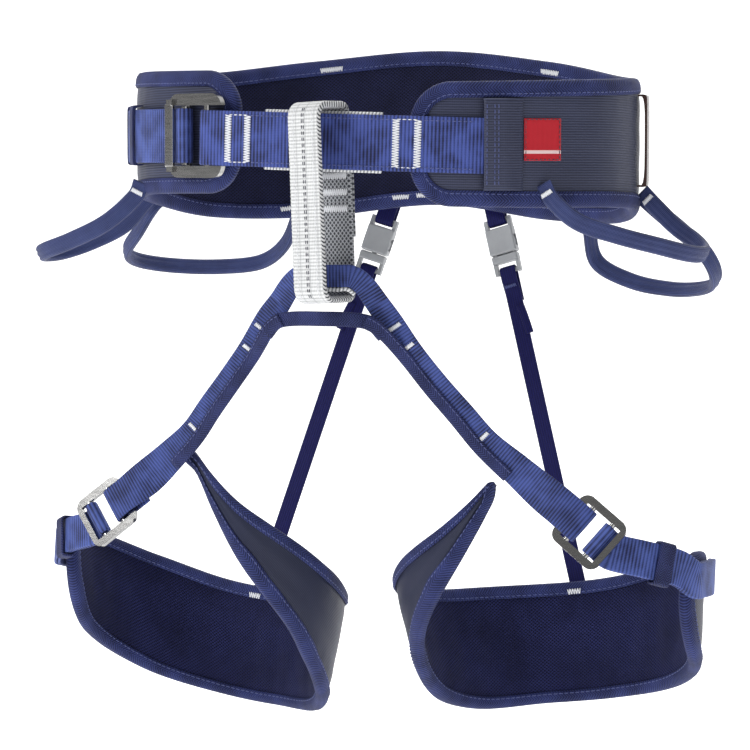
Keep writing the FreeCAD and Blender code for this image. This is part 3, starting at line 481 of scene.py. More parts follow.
FINISH = {
    # The four webbings' dark colours are partly painted shade in their grooves, and their light colours
    # partly painted highlight on their ridges.
    "front_webbing": ribbed_webbing("front_webbing", srgb(12, 14, 42), srgb(68, 84, 156), 2.5, patch=0.45),
    "adjusting": ribbed_webbing("adjusting_webbing", srgb(18, 23, 60), srgb(74, 92, 162), 2.5, patch=0.45),
    "leg_webbing": ribbed_webbing("leg_webbing", srgb(12, 16, 46), srgb(64, 80, 146), 2.2, patch=0.42),
    "dark_webbing": ribbed_webbing("dark_webbing", srgb(15, 18, 44), srgb(48, 56, 102), 1.6),
    # The two tapes' dark colours are partly painted shade between their lines, and their light colours partly
    # painted highlight on the lines' ridges.
    "binding": twill_tape("binding_tape", srgb(13, 17, 46), srgb(56, 66, 124)),
    "strap_twill": twill_tape("strap_twill", srgb(12, 15, 42), srgb(56, 64, 116), 1.8, 3.0),
    # The last colour of each mesh lining is painted shade for its holes.
    "waist_mesh": mesh_lining("waist_mesh", srgb(19, 21, 48), srgb(34, 38, 74), srgb(8, 9, 26), 2.9),
    "leg_mesh": mesh_lining("leg_mesh", srgb(20, 23, 58), srgb(38, 43, 90), srgb(9, 10, 34), 2.9),
    "shell": ripstop("ripstop_shell", srgb(24, 27, 46), srgb(60, 65, 90)),
    "shell_dark": ripstop("ripstop_shell_dark", srgb(13, 16, 34), srgb(36, 42, 70)),
    "belay": belay_face("belay_webbing"),
    "belay_rear": belay_rear("belay_rear_webbing"),
    "protector": whipped_cord("protector_cord"),
    "label": label_cloth("label_cloth"),
    "elastic": elastic("elastic_strap"),
    "sleeve": sleeve_weave("gear_sleeve"),
    "steel": steel("satin_steel", 0.2),
    "steel_bright": steel("polished_steel", 0.17),
    "plastic": moulded("grey_plastic", srgb(138, 141, 144), srgb(170, 172, 175)),
    "clip_dark": moulded("clip_dark", srgb(46, 28, 26), srgb(70, 44, 38), 0.2),
    "clip_pale": moulded("clip_pale", srgb(150, 152, 158), srgb(190, 192, 196), 0.35),
    "white_thread": thread("white_thread", srgb(200, 203, 210), srgb(250, 250, 252)),
    "blue_thread": thread("blue_thread", srgb(40, 50, 104), srgb(86, 98, 160)),
    "dark_thread": thread("dark_thread", srgb(24, 27, 44), srgb(58, 62, 84)),
}


# ---------------------------------------------------------------- mesh helpers
def piece(name, points, faces, uvs, finishes, indices=None, flat_faces=()):
    """A mesh object from points in millimetres; uvs has one (along, across) pair per face corner."""
    mesh = bpy.data.meshes.new(name)
    mesh.from_pydata((np.asarray(points) * MM).tolist(), [], faces)
    layer = mesh.uv_layers.new(name="UVMap")
    layer.data.foreach_set("uv", (np.asarray(uvs, float) * MM).ravel())
    mesh.polygons.foreach_set("use_smooth", [True] * len(faces))
    for i in flat_faces:
        mesh.polygons[i].use_smooth = False
    for finish in finishes:
        mesh.materials.append(FINISH[finish])
    if indices is not None:
        mesh.polygons.foreach_set("material_index", indices)
    work = bmesh.new()
    work.from_mesh(mesh)
    bmesh.ops.recalc_face_normals(work, faces=work.faces)
    work.to_mesh(mesh)
    work.free()
    made = bpy.data.objects.new(name, mesh)
    bpy.context.scene.collection.objects.link(made)
    return made


def tube(rings, along, across, closed=False):
    """Points, quads and corner uvs of rings joined in a row, with end faces unless closed."""
    count, around = rings.shape[:2]
    spans = count if closed else count - 1
    i, j = np.meshgrid(np.arange(spans), np.arange(around), indexing="ij")
    i, j = i.ravel(), j.ravel()
    after, beside = (i + 1) % count, (j + 1) % around
    faces = np.stack((i * around + j, i * around + beside, after * around + beside, after * around + j), 1)
    faces = faces.tolist()
    side = np.broadcast_to(across, (count, around))
    near, far = along[i], along[i + 1]
    uvs = np.stack((np.stack((near, side[i, j]), 1), np.stack((near, side[i, beside]), 1),
                    np.stack((far, side[after, beside]), 1), np.stack((far, side[after, j]), 1)), 1)
    uvs = uvs.reshape(-1, 2)
    flat_faces = []
    if not closed:
        for ring in (0, count - 1):
            flat_faces.append(len(faces))
            faces.append([ring * around + k for k in range(around)])
            uvs = np.vstack((uvs, np.stack((np.full(around, along[ring]), side[ring]), 1)))
    return rings.reshape(-1, 3), faces, uvs, flat_faces


def strap_section(width, thick, crown=0.0):
    """Outline of webbing as (across, out) pairs, with rounded edges and a slightly full middle."""
    radius = thick / 2
    half = width / 2 - radius
    steps = np.array((-1, -0.86, -0.6, -0.3, 0, 0.3, 0.6, 0.86, 1.0))
    top = [(half * s, radius + crown * (1 - s * s)) for s in steps]
    turn = [(half + radius * math.sin(a), radius * math.cos(a)) for a in np.radians((36, 72, 108, 144))]
    return np.array(top + turn + [(-x, -z) for x, z in top] + [(-x, -z) for x, z in turn])


def strap_rings(points, across, widths, thick, crown=0.0, closed=False, section=None, thin=None):
    """Sections set square to a line, with each point's distance across; thin scales their thickness."""
    along = along_of(points, closed)
    across = unit(across - along * np.sum(across * along, axis=1, keepdims=True))
    out = np.cross(across, along)
    rings, sides = [], []
    thin = np.ones(len(points)) if thin is None else thin
    for p, wide, high, width, share in zip(points, across, out, widths, thin):
        outline = (strap_section(width, thick, crown) if section is None else section) * (1.0, share)
        rings.append(p + outline[:, :1] * wide + outline[:, 1:] * high)
        sides.append(outline[:, 0])
    return np.array(rings), np.array(sides)


def strap(name, points, across, widths, thick, finish, crown=0.1, closed=False, section=None, thin=None):
    """Webbing swept along points, given its width direction and its width at each."""
    points = np.asarray(points, float)
    across = np.broadcast_to(across, points.shape)
    widths = np.broadcast_to(widths, len(points))
    rings, sides = strap_rings(points, across, widths, thick, crown, closed, section, thin)
    at = lengths(np.vstack((points, points[:1])) if closed else points)
    points, faces, uvs, flats = tube(rings, at, sides, closed)
    return piece(name, points, faces, uvs, [finish], None, flats)


def settle(made, body, replaced=()):
    """Attach a finished piece to its body and hide the CAD parts that it replaces."""
    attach(made, body)
    if replaced:
        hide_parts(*replaced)
    return made


def merged(name, strands, finish):
    """Several tubes as one piece."""
    points, faces, uvs, flats = [], [], [], []
    base = 0
    for rings, along in strands:
        around = rings.shape[1]
        p, f, w, e = tube(rings, along, np.linspace(0, 2.4, around))
        flats += [len(faces) + k for k in e]
        points.append(p)
        faces += [[k + base for k in face] for face in f]
        uvs.append(w)
        base += len(p)
    return piece(name, np.vstack(points), faces, np.vstack(uvs), [finish], None, flats)


def strand(points, normals, radii):
    """A round thread along points."""
    along = along_of(points)
    side = unit(np.cross(normals, along))
    high = np.cross(along, side)
    turn = np.linspace(0, 2 * math.pi, STRAND_SIDES, endpoint=False)
    radii = np.broadcast_to(radii, len(points))
    rings = (points[:, None] + radii[:, None, None] * (np.cos(turn)[None, :, None] * side[:, None]
                                                       + np.sin(turn)[None, :, None] * high[:, None]))
    return rings, lengths(points)


def dashes(points, normals, length=2.7, gap=1.2, radius=0.36, closed=False):
    """A row of stitches along a line that lies on a surface."""
    points, normals = np.asarray(points, float), np.broadcast_to(normals, np.shape(points))
    if closed:
        points, normals = np.vstack((points, points[:1])), np.vstack((normals, normals[:1]))
    at = lengths(points)
    count = max(1, int(at[-1] / (length + gap)))
    pitch = at[-1] / count
    made = []
    for k in range(count):
        where = k * pitch + gap / 2 + (pitch - gap) * np.array((0, 0.2, 0.5, 0.8, 1.0))
        p = np.stack([np.interp(where, at, points[:, c]) for c in range(3)], 1)
        n = unit(np.stack([np.interp(where, at, normals[:, c]) for c in range(3)], 1))
        rise = radius * np.array((-0.5, 0.45, 0.7, 0.45, -0.5))
        made.append(strand(p + n * rise[:, None], n, radius * np.array((0.6, 1, 1, 1, 0.6))))
    return made


def zigzag(centre, along, across, normal, length, width, pitch=1.5, radius=TACK_RADIUS):
    """A bar-tack: thread laid to and fro across the line that it follows."""
    count = max(3, int(length / pitch))
    shares = np.linspace(-0.5, 0.5, count * 2 + 1)
    sway = np.array([(-1) ** k for k in range(len(shares))]) * 0.5
    points = centre + np.outer(shares * length, along) + np.outer(sway * width, across)
    rows = spline(points, 0.8)
    normals = np.broadcast_to(normal, rows.shape)
    return [strand(rows + normals * radius * 0.5, normals, radius)]


def sew(name, strands, finish, body):
    """Thread on a body, as one piece."""
    settle(merged(name, strands, finish), body, ())


def chaikin(outline, rounds=2):
    """Rounds the corners of a closed outline."""
    outline = np.asarray(outline, float)
    for _ in range(rounds):
        after = np.roll(outline, -1, axis=0)
        outline = np.stack((outline * 0.75 + after * 0.25, outline * 0.25 + after * 0.75), 1).reshape(-1, 2)
    return outline


# ---------------------------------------------------------------- the padded bands
def waist_out(angle):
    a = np.radians(angle)
    return unit(np.stack((WAIST_B * np.sin(a), -WAIST_A * np.cos(a), np.zeros_like(a)), -1))


def waist_point(angle, offset, z):
    a = np.radians(np.asarray(angle, float))
    place = np.stack((WAIST_A * np.sin(a), -WAIST_B * np.cos(a), z + 0 * a), -1)
    return place + waist_out(a * 180 / math.pi) * offset


def from_table(table, angle):
    """A table's values at an angle, which is its first column."""
    rows = np.array(table, float)
    return hermite(rows[:, 0], rows[:, 1:], angle)[0]


def waist_base(angle):
    top, bottom = from_table(WAIST_EDGES, angle)
    return waist_point(angle, 0, bottom), waist_point(angle, 0, top), waist_out(angle)


def leg_base(side):
    def base(angle):
        a = math.radians(angle)
        upper_radius, upper_height, lower_radius, lower_height = from_table(LEG_EDGES, angle)
        lift, lean = LEG_LEAN[side]
        ends = []
        for radius, height in ((lower_radius, lower_height), (upper_radius, upper_height)):
            x = side * (LEG_CENTRE[0] - radius * math.cos(a))
            y = LEG_CENTRE[1] + radius * math.sin(a)
            ends.append(vec(x, y, height + lift + lean * y))
        low, high = ends
        along = vec(side * math.sin(a), math.cos(a), 0)
        return low, high, unit(np.cross(high - low, along)) * side
    return base


class Band:
    """A padded band with rounded ends; base(u) gives its low point, high point and outward direction."""

    def __init__(self, base, start, end, start_radii, end_radii, lip):
        self.base, self.start, self.end, self.lip = base, start, end, lip
        self.start_radii, self.end_radii = start_radii, end_radii
        small = (end - start) * 0.01
        self.rate_start = abs(small) / np.linalg.norm(base(start + small)[0] - base(start)[0])
        self.rate_end = abs(small) / np.linalg.norm(base(end)[0] - base(end - small)[0])

    def stretch(self, u, which):
        low, high, _ = self.base(u)
        du = (self.end - self.start) * 0.002
        run = self.base(u + du)[which] - self.base(u - du)[which]
        return min(2.2, 1 / np.linalg.norm(np.cross(unit(run), unit(high - low))))

    def corner_cut(self, u, which, inset):
        cut = 0.0
        for edge_u, rate, radii in ((self.start, self.rate_start, self.start_radii),
                                    (self.end, self.rate_end, self.end_radii)):
            radius = radii[which] - inset
            distance = abs(u - edge_u) / rate - inset
            if distance < radius:
                cut = radius - math.sqrt(max(0.0, radius ** 2 - (radius - distance) ** 2))
        return cut + inset * self.stretch(u, which)

    def point(self, u, which, inset=0.0):
        low, high, _ = self.base(u)
        up = unit(high - low)
        if which == 0:
            return low + up * self.corner_cut(u, 0, inset)
        return high - up * self.corner_cut(u, 1, inset)

    def places(self, angles, inset, steps):
        first, last = max(self.start_radii) - inset, max(self.end_radii) - inset
        turns = [1 - math.cos(math.radians(a)) for a in angles]
        begin = [self.start + (inset + first * turn) * self.rate_start for turn in turns]
        finish = [self.end - (inset + last * turn) * self.rate_end for turn in turns]
        return begin + list(np.linspace(begin[-1], finish[-1], steps + 2)[1:-1]) + finish[::-1]

    def fullness(self, u):
        from_end = min(abs(u - self.start) / self.rate_start, abs(u - self.end) / self.rate_end)
        return max(0.0, min(1.0, (from_end - CORE_INSET) / (EDGE_TAPER - CORE_INSET)))

    def half_thickness(self, u, share):
        low, high, _ = self.base(u)
        height = np.linalg.norm(high - low)
        first, last = self.corner_cut(u, 0, CORE_INSET), height - self.corner_cut(u, 1, CORE_INSET)
        tapers = [min((EDGE_TAPER - CORE_INSET) * self.stretch(u, w), 0.35 * (last - first)) for w in (0, 1)]
        grown = max(0.0, min(1.0, (share * height - first) / tapers[0], (last - share * height) / tapers[1]))
        return FOAM_EDGE + (FOAM_MIDDLE - FOAM_EDGE) * self.fullness(u) * grown

    def stepped(self, u, share, step):
        """The place, outward direction and foam thickness a small step away on the mid-surface."""
        low, high, _ = self.base(u)
        rise = high - low
        du = (self.end - self.start) * 0.002
        beside_low, beside_high, _ = self.base(u + du)
        run = (beside_low + (beside_high - beside_low) * share - low - rise * share) / du
        a, b, c, d, e = run @ run, run @ rise, rise @ rise, step @ run, step @ rise
        new_u = u + (d * c - e * b) / (a * c - b * b)
        new_share = share + (a * e - b * d) / (a * c - b * b)
        new_low, new_high, out = self.base(new_u)
        return new_low + (new_high - new_low) * new_share, out, self.half_thickness(new_u, new_share)

    def outline(self, steps, angles):
        spots = self.places(angles, 0.0, steps)
        ring = []
        for u, which in [(u, 1) for u in spots] + [(u, 0) for u in spots[::-1]]:
            low, high, _ = self.base(u)
            p = self.point(u, which)
            ring.append((u, p, np.linalg.norm(p - low) / np.linalg.norm(high - low)))
        kept = [ring[0]]
        for item in ring[1:]:
            if np.linalg.norm(item[1] - kept[-1][1]) > 0.4:
                kept.append(item)
        return kept



def tape_round(band, name, body, replaced, steps, angles):
    """The folded tape round a pad's whole edge, plump over the fold, and its two rows of stitches."""
    ring = band.outline(steps, angles)
    places = np.array([item[1] for item in ring])
    along = along_of(places, True)
    near = FOAM_EDGE + SKIN + 2 * LAYER_GAP
    rings, seams = [], {1: [], -1: []}
    seam_normals = {1: [], -1: []}
    hand = None
    for i, (u, point, share) in enumerate(ring):
        low, high, out = band.base(u)
        inward = unit(np.cross(along[i], out))
        if hand is None:
            middle = low + (high - low) * 0.5
            hand = 1 if inward @ (middle - point) > 0 else -1
        inward = inward * hand
        steep = band.stretch(u, 1 if share > 0.5 else 0)
        lip = min(band.lip, CORE_INSET + 0.35 * (np.linalg.norm(high - low) / steep - 2 * CORE_INSET))
        lip_point, lip_out, half = band.stepped(u, share, inward * lip)
        far = half + SKIN + 2 * LAYER_GAP + BINDING_EASE - 0.3
        outline = []
        for way in (1, -1):
            rows = []
            for s, swell in zip(TAPE_PLACES, TAPE_SWELL):
                centre = point + (lip_point - point) * s
                facing = unit(out + (lip_out - out) * s)
                rows.append(centre + facing * way * (near + (far - near) * s - 0.75 * (1 - s) + swell - 0.15))
            outline += rows + [point] if way == 1 else rows[::-1]
            seams[way].append(rows[2])
            seam_normals[way].append(lip_out * way)
        inner = [lip_point - lip_out * (far - 0.1), point + inward * BINDING_FOLD - out * (near - 0.2),
                 point + inward * BINDING_FOLD + out * (near - 0.2), lip_point + lip_out * (far - 0.1)]
        rings.append(outline + inner)
    rings = np.array(rings)
    wide = np.array([s * band.lip for s in TAPE_PLACES] + [0.0] + [-s * band.lip for s in TAPE_PLACES[::-1]]
                    + [-band.lip, -2, 2, band.lip])
    at = lengths(np.vstack((places, places[:1])))
    points, faces, uvs, _ = tube(rings, at, wide, True)
    settle(piece(name, points, faces, uvs, ["binding"]), body, replaced)
    for way, label in ((1, "outer"), (-1, "inner")):
        rows = dashes(np.array(seams[way]), np.array(seam_normals[way]), 2.6, 1.3, 0.34, True)
        sew(name + "_stitches_" + label, rows, "blue_thread", body)


def pad(band, name, body, replaced, steps, angles, rows, finishes):
    """Shell, foam and lining as one soft closed form, swelled by a cloth simulation and held at its edges."""
    inset = CORE_INSET + 0.6
    spots = band.places(angles, inset, steps)
    shares = np.linspace(0, 1, rows)
    faces_out, faces_in, bases = [], [], []
    for u in spots:
        low, high = band.point(u, 0, inset), band.point(u, 1, inset)
        base_low, base_high, out = band.base(u)
        height = np.linalg.norm(base_high - base_low)
        out_row, in_row, base_row = [], [], []
        for s in shares:
            p = low + (high - low) * s
            half = band.half_thickness(u, np.linalg.norm(p - base_low) / height) + LAYER_GAP + SKIN
            out_row.append(p + out * half)
            in_row.append(p - out * half)
            base_row.append(np.linalg.norm(p - base_low))
        faces_out.append(out_row)
        faces_in.append(in_row[::-1])
        bases.append(base_row)
    rings = np.array([a + b for a, b in zip(faces_out, faces_in)])
    bases = np.array(bases)
    middle = np.array([(a[rows // 2] + b[rows // 2]) / 2 for a, b in zip(faces_out, faces_in)])
    points, quads, uvs, _ = tube(rings, lengths(middle), np.hstack((bases, bases[:, ::-1])))
    around = rows * 2
    indices = []
    for face in quads:
        spots_on = [k % around for k in face]
        indices.append(0 if len(face) == 4 and max(spots_on) < rows else 1)
    made = piece(name, points, quads, uvs, finishes, indices)
    rest = points * MM
    held = np.zeros(len(points), bool)
    for k in range(len(points)):
        i, j = divmod(k, around)
        across = j if j < rows else around - 1 - j
        held[k] = i < 2 or i > len(spots) - 3 or across < 2 or across > rows - 3
    mesh = made.data
    group = made.vertex_groups.new(name="held")
    group.add([int(k) for k in np.nonzero(held)[0]], 1.0, "REPLACE")
    cloth = made.modifiers.new("swell", "CLOTH")
    cloth.settings.quality = 4
    cloth.settings.mass = 0.3
    cloth.settings.tension_stiffness = 20
    cloth.settings.compression_stiffness = 12
    cloth.settings.bending_stiffness = 1.5
    cloth.settings.use_pressure = True
    cloth.settings.uniform_pressure_force = CLOTH_PRESSURE
    cloth.settings.vertex_group_mass = "held"
    cloth.settings.effector_weights.gravity = 0.0
    cloth.point_cache.frame_start, cloth.point_cache.frame_end = 1, CLOTH_FRAMES
    for step in range(1, CLOTH_FRAMES + 1):
        bpy.context.scene.frame_set(step)
    solved = made.evaluated_get(bpy.context.evaluated_depsgraph_get())
    co = np.zeros(len(points) * 3)
    solved.data.vertices.foreach_get("co", co)
    moved = co.reshape(-1, 3) - rest
    made.modifiers.clear()
    made.vertex_groups.clear()
    bpy.context.scene.frame_set(1)
    size = np.linalg.norm(moved, axis=1)
    inside = (np.arange(len(points)) % around) >= rows
    cap = np.where(inside, SWELL_IN, SWELL_OUT) * MM
    soft = cap * np.tanh(size / cap)
    rest = rest + moved * (soft / np.maximum(size, 1e-9))[:, None]
    normals = np.zeros(len(points) * 3)
    mesh.vertices.foreach_get("normal", normals)
    normals = normals.reshape(-1, 3)
    index = np.arange(len(points))
    i, j = index // around, index % around
    across = np.where(j < rows, j, around - 1 - j)
    from_edge = np.minimum(across, rows - 1 - across) / (rows - 1)
    run = lengths(middle)[i]
    pucker = np.sin(run * 2 * math.pi / PUCKER_PITCH + np.sin(run / 17.0) * 2.0)
    pucker *= np.exp(-((from_edge - 0.16) / 0.07) ** 2)
    ripple = np.sin(run / 23.0 + across * 0.7) * np.sin(run / 37.0 - across * 0.5)
    ripple *= np.minimum(1, from_edge * 4)
    rest = rest + normals * ((PUCKER_DEPTH * pucker + RIPPLE_DEPTH * ripple) * MM)[:, None]
    mesh.vertices.foreach_set("co", rest.ravel())
    mesh.update()
    smoother = made.modifiers.new("smooth", "SUBSURF")
    smoother.levels = smoother.render_levels = 1
    settle(made, body, replaced)


CORNER_ANGLES = tuple(range(8, 91, 6))
waist_band = Band(waist_base, 19, 339, (WAIST_TIP_RADIUS,) * 2, (WAIST_TIP_RADIUS,) * 2, BINDING_LIP)
pad(waist_band, "waist_pad", "waist_belt",
    ("waist_pad_foam", "waist_pad_mesh_lining", "waist_pad_outer_shell"), 130, (14, 30, 45, 60, 75, 90), 17,
    ["shell", "waist_mesh"])
tape_round(waist_band, "waist_binding", "waist_belt", ("waist_pad_edge_binding",), 170, CORNER_ANGLES)

leg_bands = {}
for side in (LEFT, RIGHT):
    tag = SIDE_NAME[side]
    band = Band(leg_base(side), LEG_START[side], LEG_END, (LEG_TIP_INNER,) * 2,
                (LEG_TIP_LOWER, LEG_TIP_UPPER), LEG_LIP)
    leg_bands[side] = band
    pad(band, "leg_pad_" + tag, "leg_loop_" + tag,
        ("leg_pad_foam_" + tag, "leg_pad_mesh_lining_" + tag, "leg_pad_outer_shell_" + tag), 90,
        (20, 45, 70, 90), 15, ["shell_dark", "leg_mesh"])
    tape_round(band, "leg_binding_" + tag, "leg_loop_" + tag, ("leg_pad_edge_binding_" + tag,), 130,
               CORNER_ANGLES)


# ---------------------------------------------------------------- webbing on the waist belt
def flat(points):
    points = np.array(points, float)
    points[..., 2] = 0
    return points


BUCKLE_OUT = waist_out(BUCKLE_ANGLE)
BUCKLE_WAY = vec(-BUCKLE_OUT[1], BUCKLE_OUT[0], 0)


def buckle_plan(along_by, out_by):
    return flat(waist_point(BUCKLE_ANGLE, BUCKLE_OFFSET, 0) + BUCKLE_WAY * along_by + BUCKLE_OUT * out_by)


def belt_run(angles, offset):
    return [flat(waist_point(angle, offset, 0)) for angle in angles]


def webbing_z(x):
    return WEBBING_Z - WEBBING_FALL * x


FALL_ANGLE = math.atan(WEBBING_FALL)


def falling(points):
    """Tilts points so that they drop towards the right."""
    points = np.array(points, float)
    x, z = points[..., 0].copy(), points[..., 2] - WEBBING_Z
    points[..., 0] = x * math.cos(FALL_ANGLE) + z * math.sin(FALL_ANGLE)
    points[..., 2] = WEBBING_Z - x * math.sin(FALL_ANGLE) + z * math.cos(FALL_ANGLE)
    return points


FALLEN_UP = falling(vec(0, 0, WEBBING_Z + 1)) - vec(0, 0, WEBBING_Z)


def front_path():
    turn = BAR_RADIUS + 1.1 + WEBBING_THICK / 2
    edge = FRAME_BAR - turn
    points = (belt_run((40, 30, 20, 10, 0, -6), WEB_OFFSET) + belt_run((-13,), WEB_OFFSET + LAYER_STEP + 0.2)
              + [buckle_plan(27, 0.6), buckle_plan(14.5, turn), buckle_plan(edge, turn),
                 buckle_plan(edge, -turn), buckle_plan(14.5, -turn), buckle_plan(28, -turn - 0.6)]
              + belt_run((-14.5,), WEB_OFFSET))
    radii = easy_radii(points)
    for i, point in enumerate(points[1:-1]):
        if np.linalg.norm(point - buckle_plan(edge, 0)) < turn + 0.1:
            radii[i] = turn
    path = rounded_path(points, radii, 1.6)
    path[:, 2] = WEBBING_Z
    return falling(path)


def adjusting_path():
    turn, tail = FLOAT_TURN, WEB_OFFSET + LAYER_STEP
    edge = FLOAT_BAR + turn
    points = (belt_run((-86, -76, -66, -56, -47), WEB_OFFSET)
              + [buckle_plan(-20, -BUCKLE_OFFSET + WEB_OFFSET - 0.9), buckle_plan(edge, -turn),
                 buckle_plan(edge, turn), buckle_plan(FLOAT_BAR - 2.6, turn), buckle_plan(-18.6, -1.9)]
              + belt_run((-46, -56, -66, -76, -86, -92.0), tail))
    radii = easy_radii(points)
    for i, point in enumerate(points[1:-1]):
        if np.linalg.norm(point - buckle_plan(edge, 0)) < turn + 0.1:
            radii[i] = turn
    radii[7], radii[8] = 2.0, 3.0
    path = rounded_path(points, radii, 1.6)
    path[:, 2] = webbing_z(-130)
    return path


def on_run(path, x):
    """Place, along and out directions on the first run of a belt path that reaches x."""
    k = int(np.nonzero((path[:-1, 0] - x) * (path[1:, 0] - x) <= 0)[0][0])
    way = unit(path[k + 1] - path[k])
    out = unit(np.cross(way, UP))
    if out[1] > 0:
        out = -out
    return path[k], way, out


front = front_path()
settle(strap("front_webbing", front, FALLEN_UP, WEBBING_WIDTH, WEBBING_THICK, "front_webbing"), "waist_belt",
       ("waist_webbing",))
adjusting = adjusting_path()
settle(strap("belt_adjusting_webbing", adjusting, UP, WEBBING_WIDTH, WEBBING_THICK, "adjusting"),
       "waist_belt", ("adjusting_webbing",))


def belt_arc_path(angles, offset, z):
    points = belt_run(angles, offset)
    path = rounded_path(points, easy_radii(points), 1.6)
    path[:, 2] = z
    return path


backing = falling(belt_arc_path((14, 10, 0, -10, -12), WEB_OFFSET - LAYER_STEP - 0.1, WEBBING_Z))
settle(strap("tie_in_backing", backing, FALLEN_UP, WEBBING_WIDTH, WEBBING_THICK, "dark_webbing"),
       "waist_belt", ("tie_in_backing_webbing",))
upper = falling(belt_arc_path((13, 8, 0, -8, -14), WEB_OFFSET - LAYER_STEP - 2.9, WEBBING_Z))
settle(strap("upper_protector", upper, FALLEN_UP, 40.4, 2.2, "protector", 0.0), "waist_belt",
       ("upper_tie_in_protector",))


def belt_seam(path, first_x, last_x, rise, finish, name):
    """Stitches along the front webbing's outer run, at a height above its middle."""
    inside = (path[:, 0] > first_x) & (path[:, 0] < last_x) & (path[:, 1] < 0)
    start = int(np.argmax(inside))
    run = path[start:start + int(np.argmin(inside[start:]))]
    out = np.array([unit(np.cross(w, UP)) for w in along_of(run)])
    out *= np.where(out[:, 1:2] > 0, -1, 1)
    rows = dashes(run + out * ON_WEBBING + UP * rise, out, 2.4, 1.2, 0.34)
    sew(name, rows, finish, "waist_belt")


belt_seam(front, -70, 100, 15.6, "blue_thread", "front_seam_top")
belt_seam(front, -70, 100, -15.6, "blue_thread", "front_seam_bottom")

tacks = []
for x in (-68.5, -53.0, 49.5, 64.0):
    place, way, out = on_run(front, x)
    tacks += zigzag(place + out * 1.1, FALLEN_UP, way, out, 31.0, 4.6, 1.7, 0.4)
sew("front_tacks", tacks, "white_thread", "waist_belt")
bars = []
for x0, x1 in ((-68.5, -53.0), (49.5, 64.0)):
    for rise in (15.8, -15.8):
        place, way, out = on_run(front, x0)
        other, _, _ = on_run(front, x1)
        line = np.linspace(place + out * 1.1 + FALLEN_UP * rise, other + out * 1.1 + FALLEN_UP * rise, 12)
        bars += dashes(line, out, 2.2, 1.1, 0.36)
sew("front_tack_bars", bars, "white_thread", "waist_belt")


def cover(name, first, last, z0, z1, foot, inside, thick, finish, replaced, swell=0.0, sinks=0.0):
    """Cloth sewn to the belt along its top and bottom, over webbing; its end may sink to the belt."""
    angles = np.linspace(first, last, max(6, int(abs(last - first) / 0.6)))
    face, middle = inside + thick, (z0 + z1) / 2
    outline = [(foot, z0), (face - 0.8, z0), (face, z0 + 2.5), (face + swell, middle), (face, z1 - 2.5),
               (face - 0.8, z1), (foot, z1), (foot, z1 - thick), (inside - 0.3, z1 - thick), (inside, middle),
               (inside - 0.3, z0 + thick), (foot, z0 + thick)]
    outline = chaikin(outline, 2)
    share = np.clip((np.linspace(0, 1, len(angles)) - 0.45) / 0.55, 0, 1)
    share = 1 - sinks * share * share * (3 - 2 * share)
    rings = np.array([[waist_point(a, foot + (o - foot) * s, z) for o, z in outline]
                      for a, s in zip(angles, share)])
    points, faces, uvs, flats = tube(rings, lengths(rings[:, 0]), outline[:, 1] + outline[:, 0] * 0.4)
    settle(piece(name, points, faces, uvs, [finish], None, flats), "waist_belt", replaced)


ON_SHELL = FOAM_MIDDLE + LAYER_GAP + SKIN + LAYER_GAP
OVER_ONE = WEB_OFFSET + WEBBING_THICK / 2 + WEB_GAP
OVER_TWO = OVER_ONE + LAYER_STEP
Z_RIGHT, Z_LEFT = webbing_z(110), webbing_z(-150)
cover("belt_sleeve", 35.6, 45.2, Z_RIGHT - 29.5, Z_RIGHT + 31.5, ON_SHELL, OVER_ONE, 1.2, "shell",
      ("webbing_sleeve",), swell=0.4, sinks=0.86)
rows = []
for angle, lift in ((36.2, 1.75), (38.0, 1.8), (38.9, 1.8)):
    line = np.array([waist_point(angle, OVER_ONE + lift - abs(z - Z_RIGHT - 1) * 0.012, z)
                     for z in np.linspace(Z_RIGHT - 26, Z_RIGHT + 28, 40)])
    rows += dashes(line, waist_out(angle), 2.4, 1.2, 0.3)
sew("sleeve_stitches", rows, "blue_thread", "waist_belt")
cover("front_tail_keeper", -60, -63, Z_LEFT - 21, Z_LEFT + 21, ON_SHELL, OVER_TWO, 1.2, "dark_webbing",
      ("tail_keeper_front",))
cover("rear_tail_keeper", -80, -84, Z_LEFT - 21, Z_LEFT + 21, ON_SHELL, OVER_TWO, 1.2, "dark_webbing",
      ("tail_keeper_rear",))
cover("right_clip_slot", 92, 98, -33, 30, ON_SHELL, OVER_ONE + 0.9, 1.4, "clip_dark",
      ("ice_clip_slot_right",))
cover("left_clip_slot", -97, -103, -27, 36, ON_SHELL, OVER_ONE + 0.9, 1.4, "clip_pale",
      ("ice_clip_slot_left",))

label = belt_arc_path((45.5, 48.7, 52, 55.5), ON_SHELL + 0.4, -1.0)
made = strap("belt_label", label, UP, 28.0, 0.8, "label", 0.0)
layer = made.data.uv_layers[0].data
half_run = lengths(label)[-1] / 2 * MM
for corner in layer:
    corner.uv[0] -= half_run
settle(made, "waist_belt", ("woven_label",))
ring = []
for a0, a1, z0, z1 in ((45.9, 55.1, 12.3, 12.3), (45.9, 55.1, -14.3, -14.3), (45.9, 45.9, -14.3, 12.3),
                       (55.1, 55.1, -14.3, 12.3)):
    line = np.array([waist_point(a, ON_SHELL + 0.85, z) for a, z in zip(np.linspace(a0, a1, 12),
                                                                      np.linspace(z0, z1, 12))])
    ring += dashes(line, waist_out((a0 + a1) / 2), 2.0, 1.0, 0.26)
sew("label_stitches", ring, "dark_thread", "waist_belt")


# ---------------------------------------------------------------- belay loop
def hang(points):
    """Turns and leans points of the upright loop to where it hangs."""
    points = np.array(points, float)
    lean, turn = math.radians(BELAY_LEAN), math.radians(BELAY_TURN)
    x, y, z = points[..., 0], points[..., 1], points[..., 2]
    x, z = x * math.cos(lean) + z * math.sin(lean), -x * math.sin(lean) + z * math.cos(lean)
    x, y = x * math.cos(turn) - y * math.sin(turn), x * math.sin(turn) + y * math.cos(turn)
    return np.stack((x, y + TIE_IN_Y, z), -1)


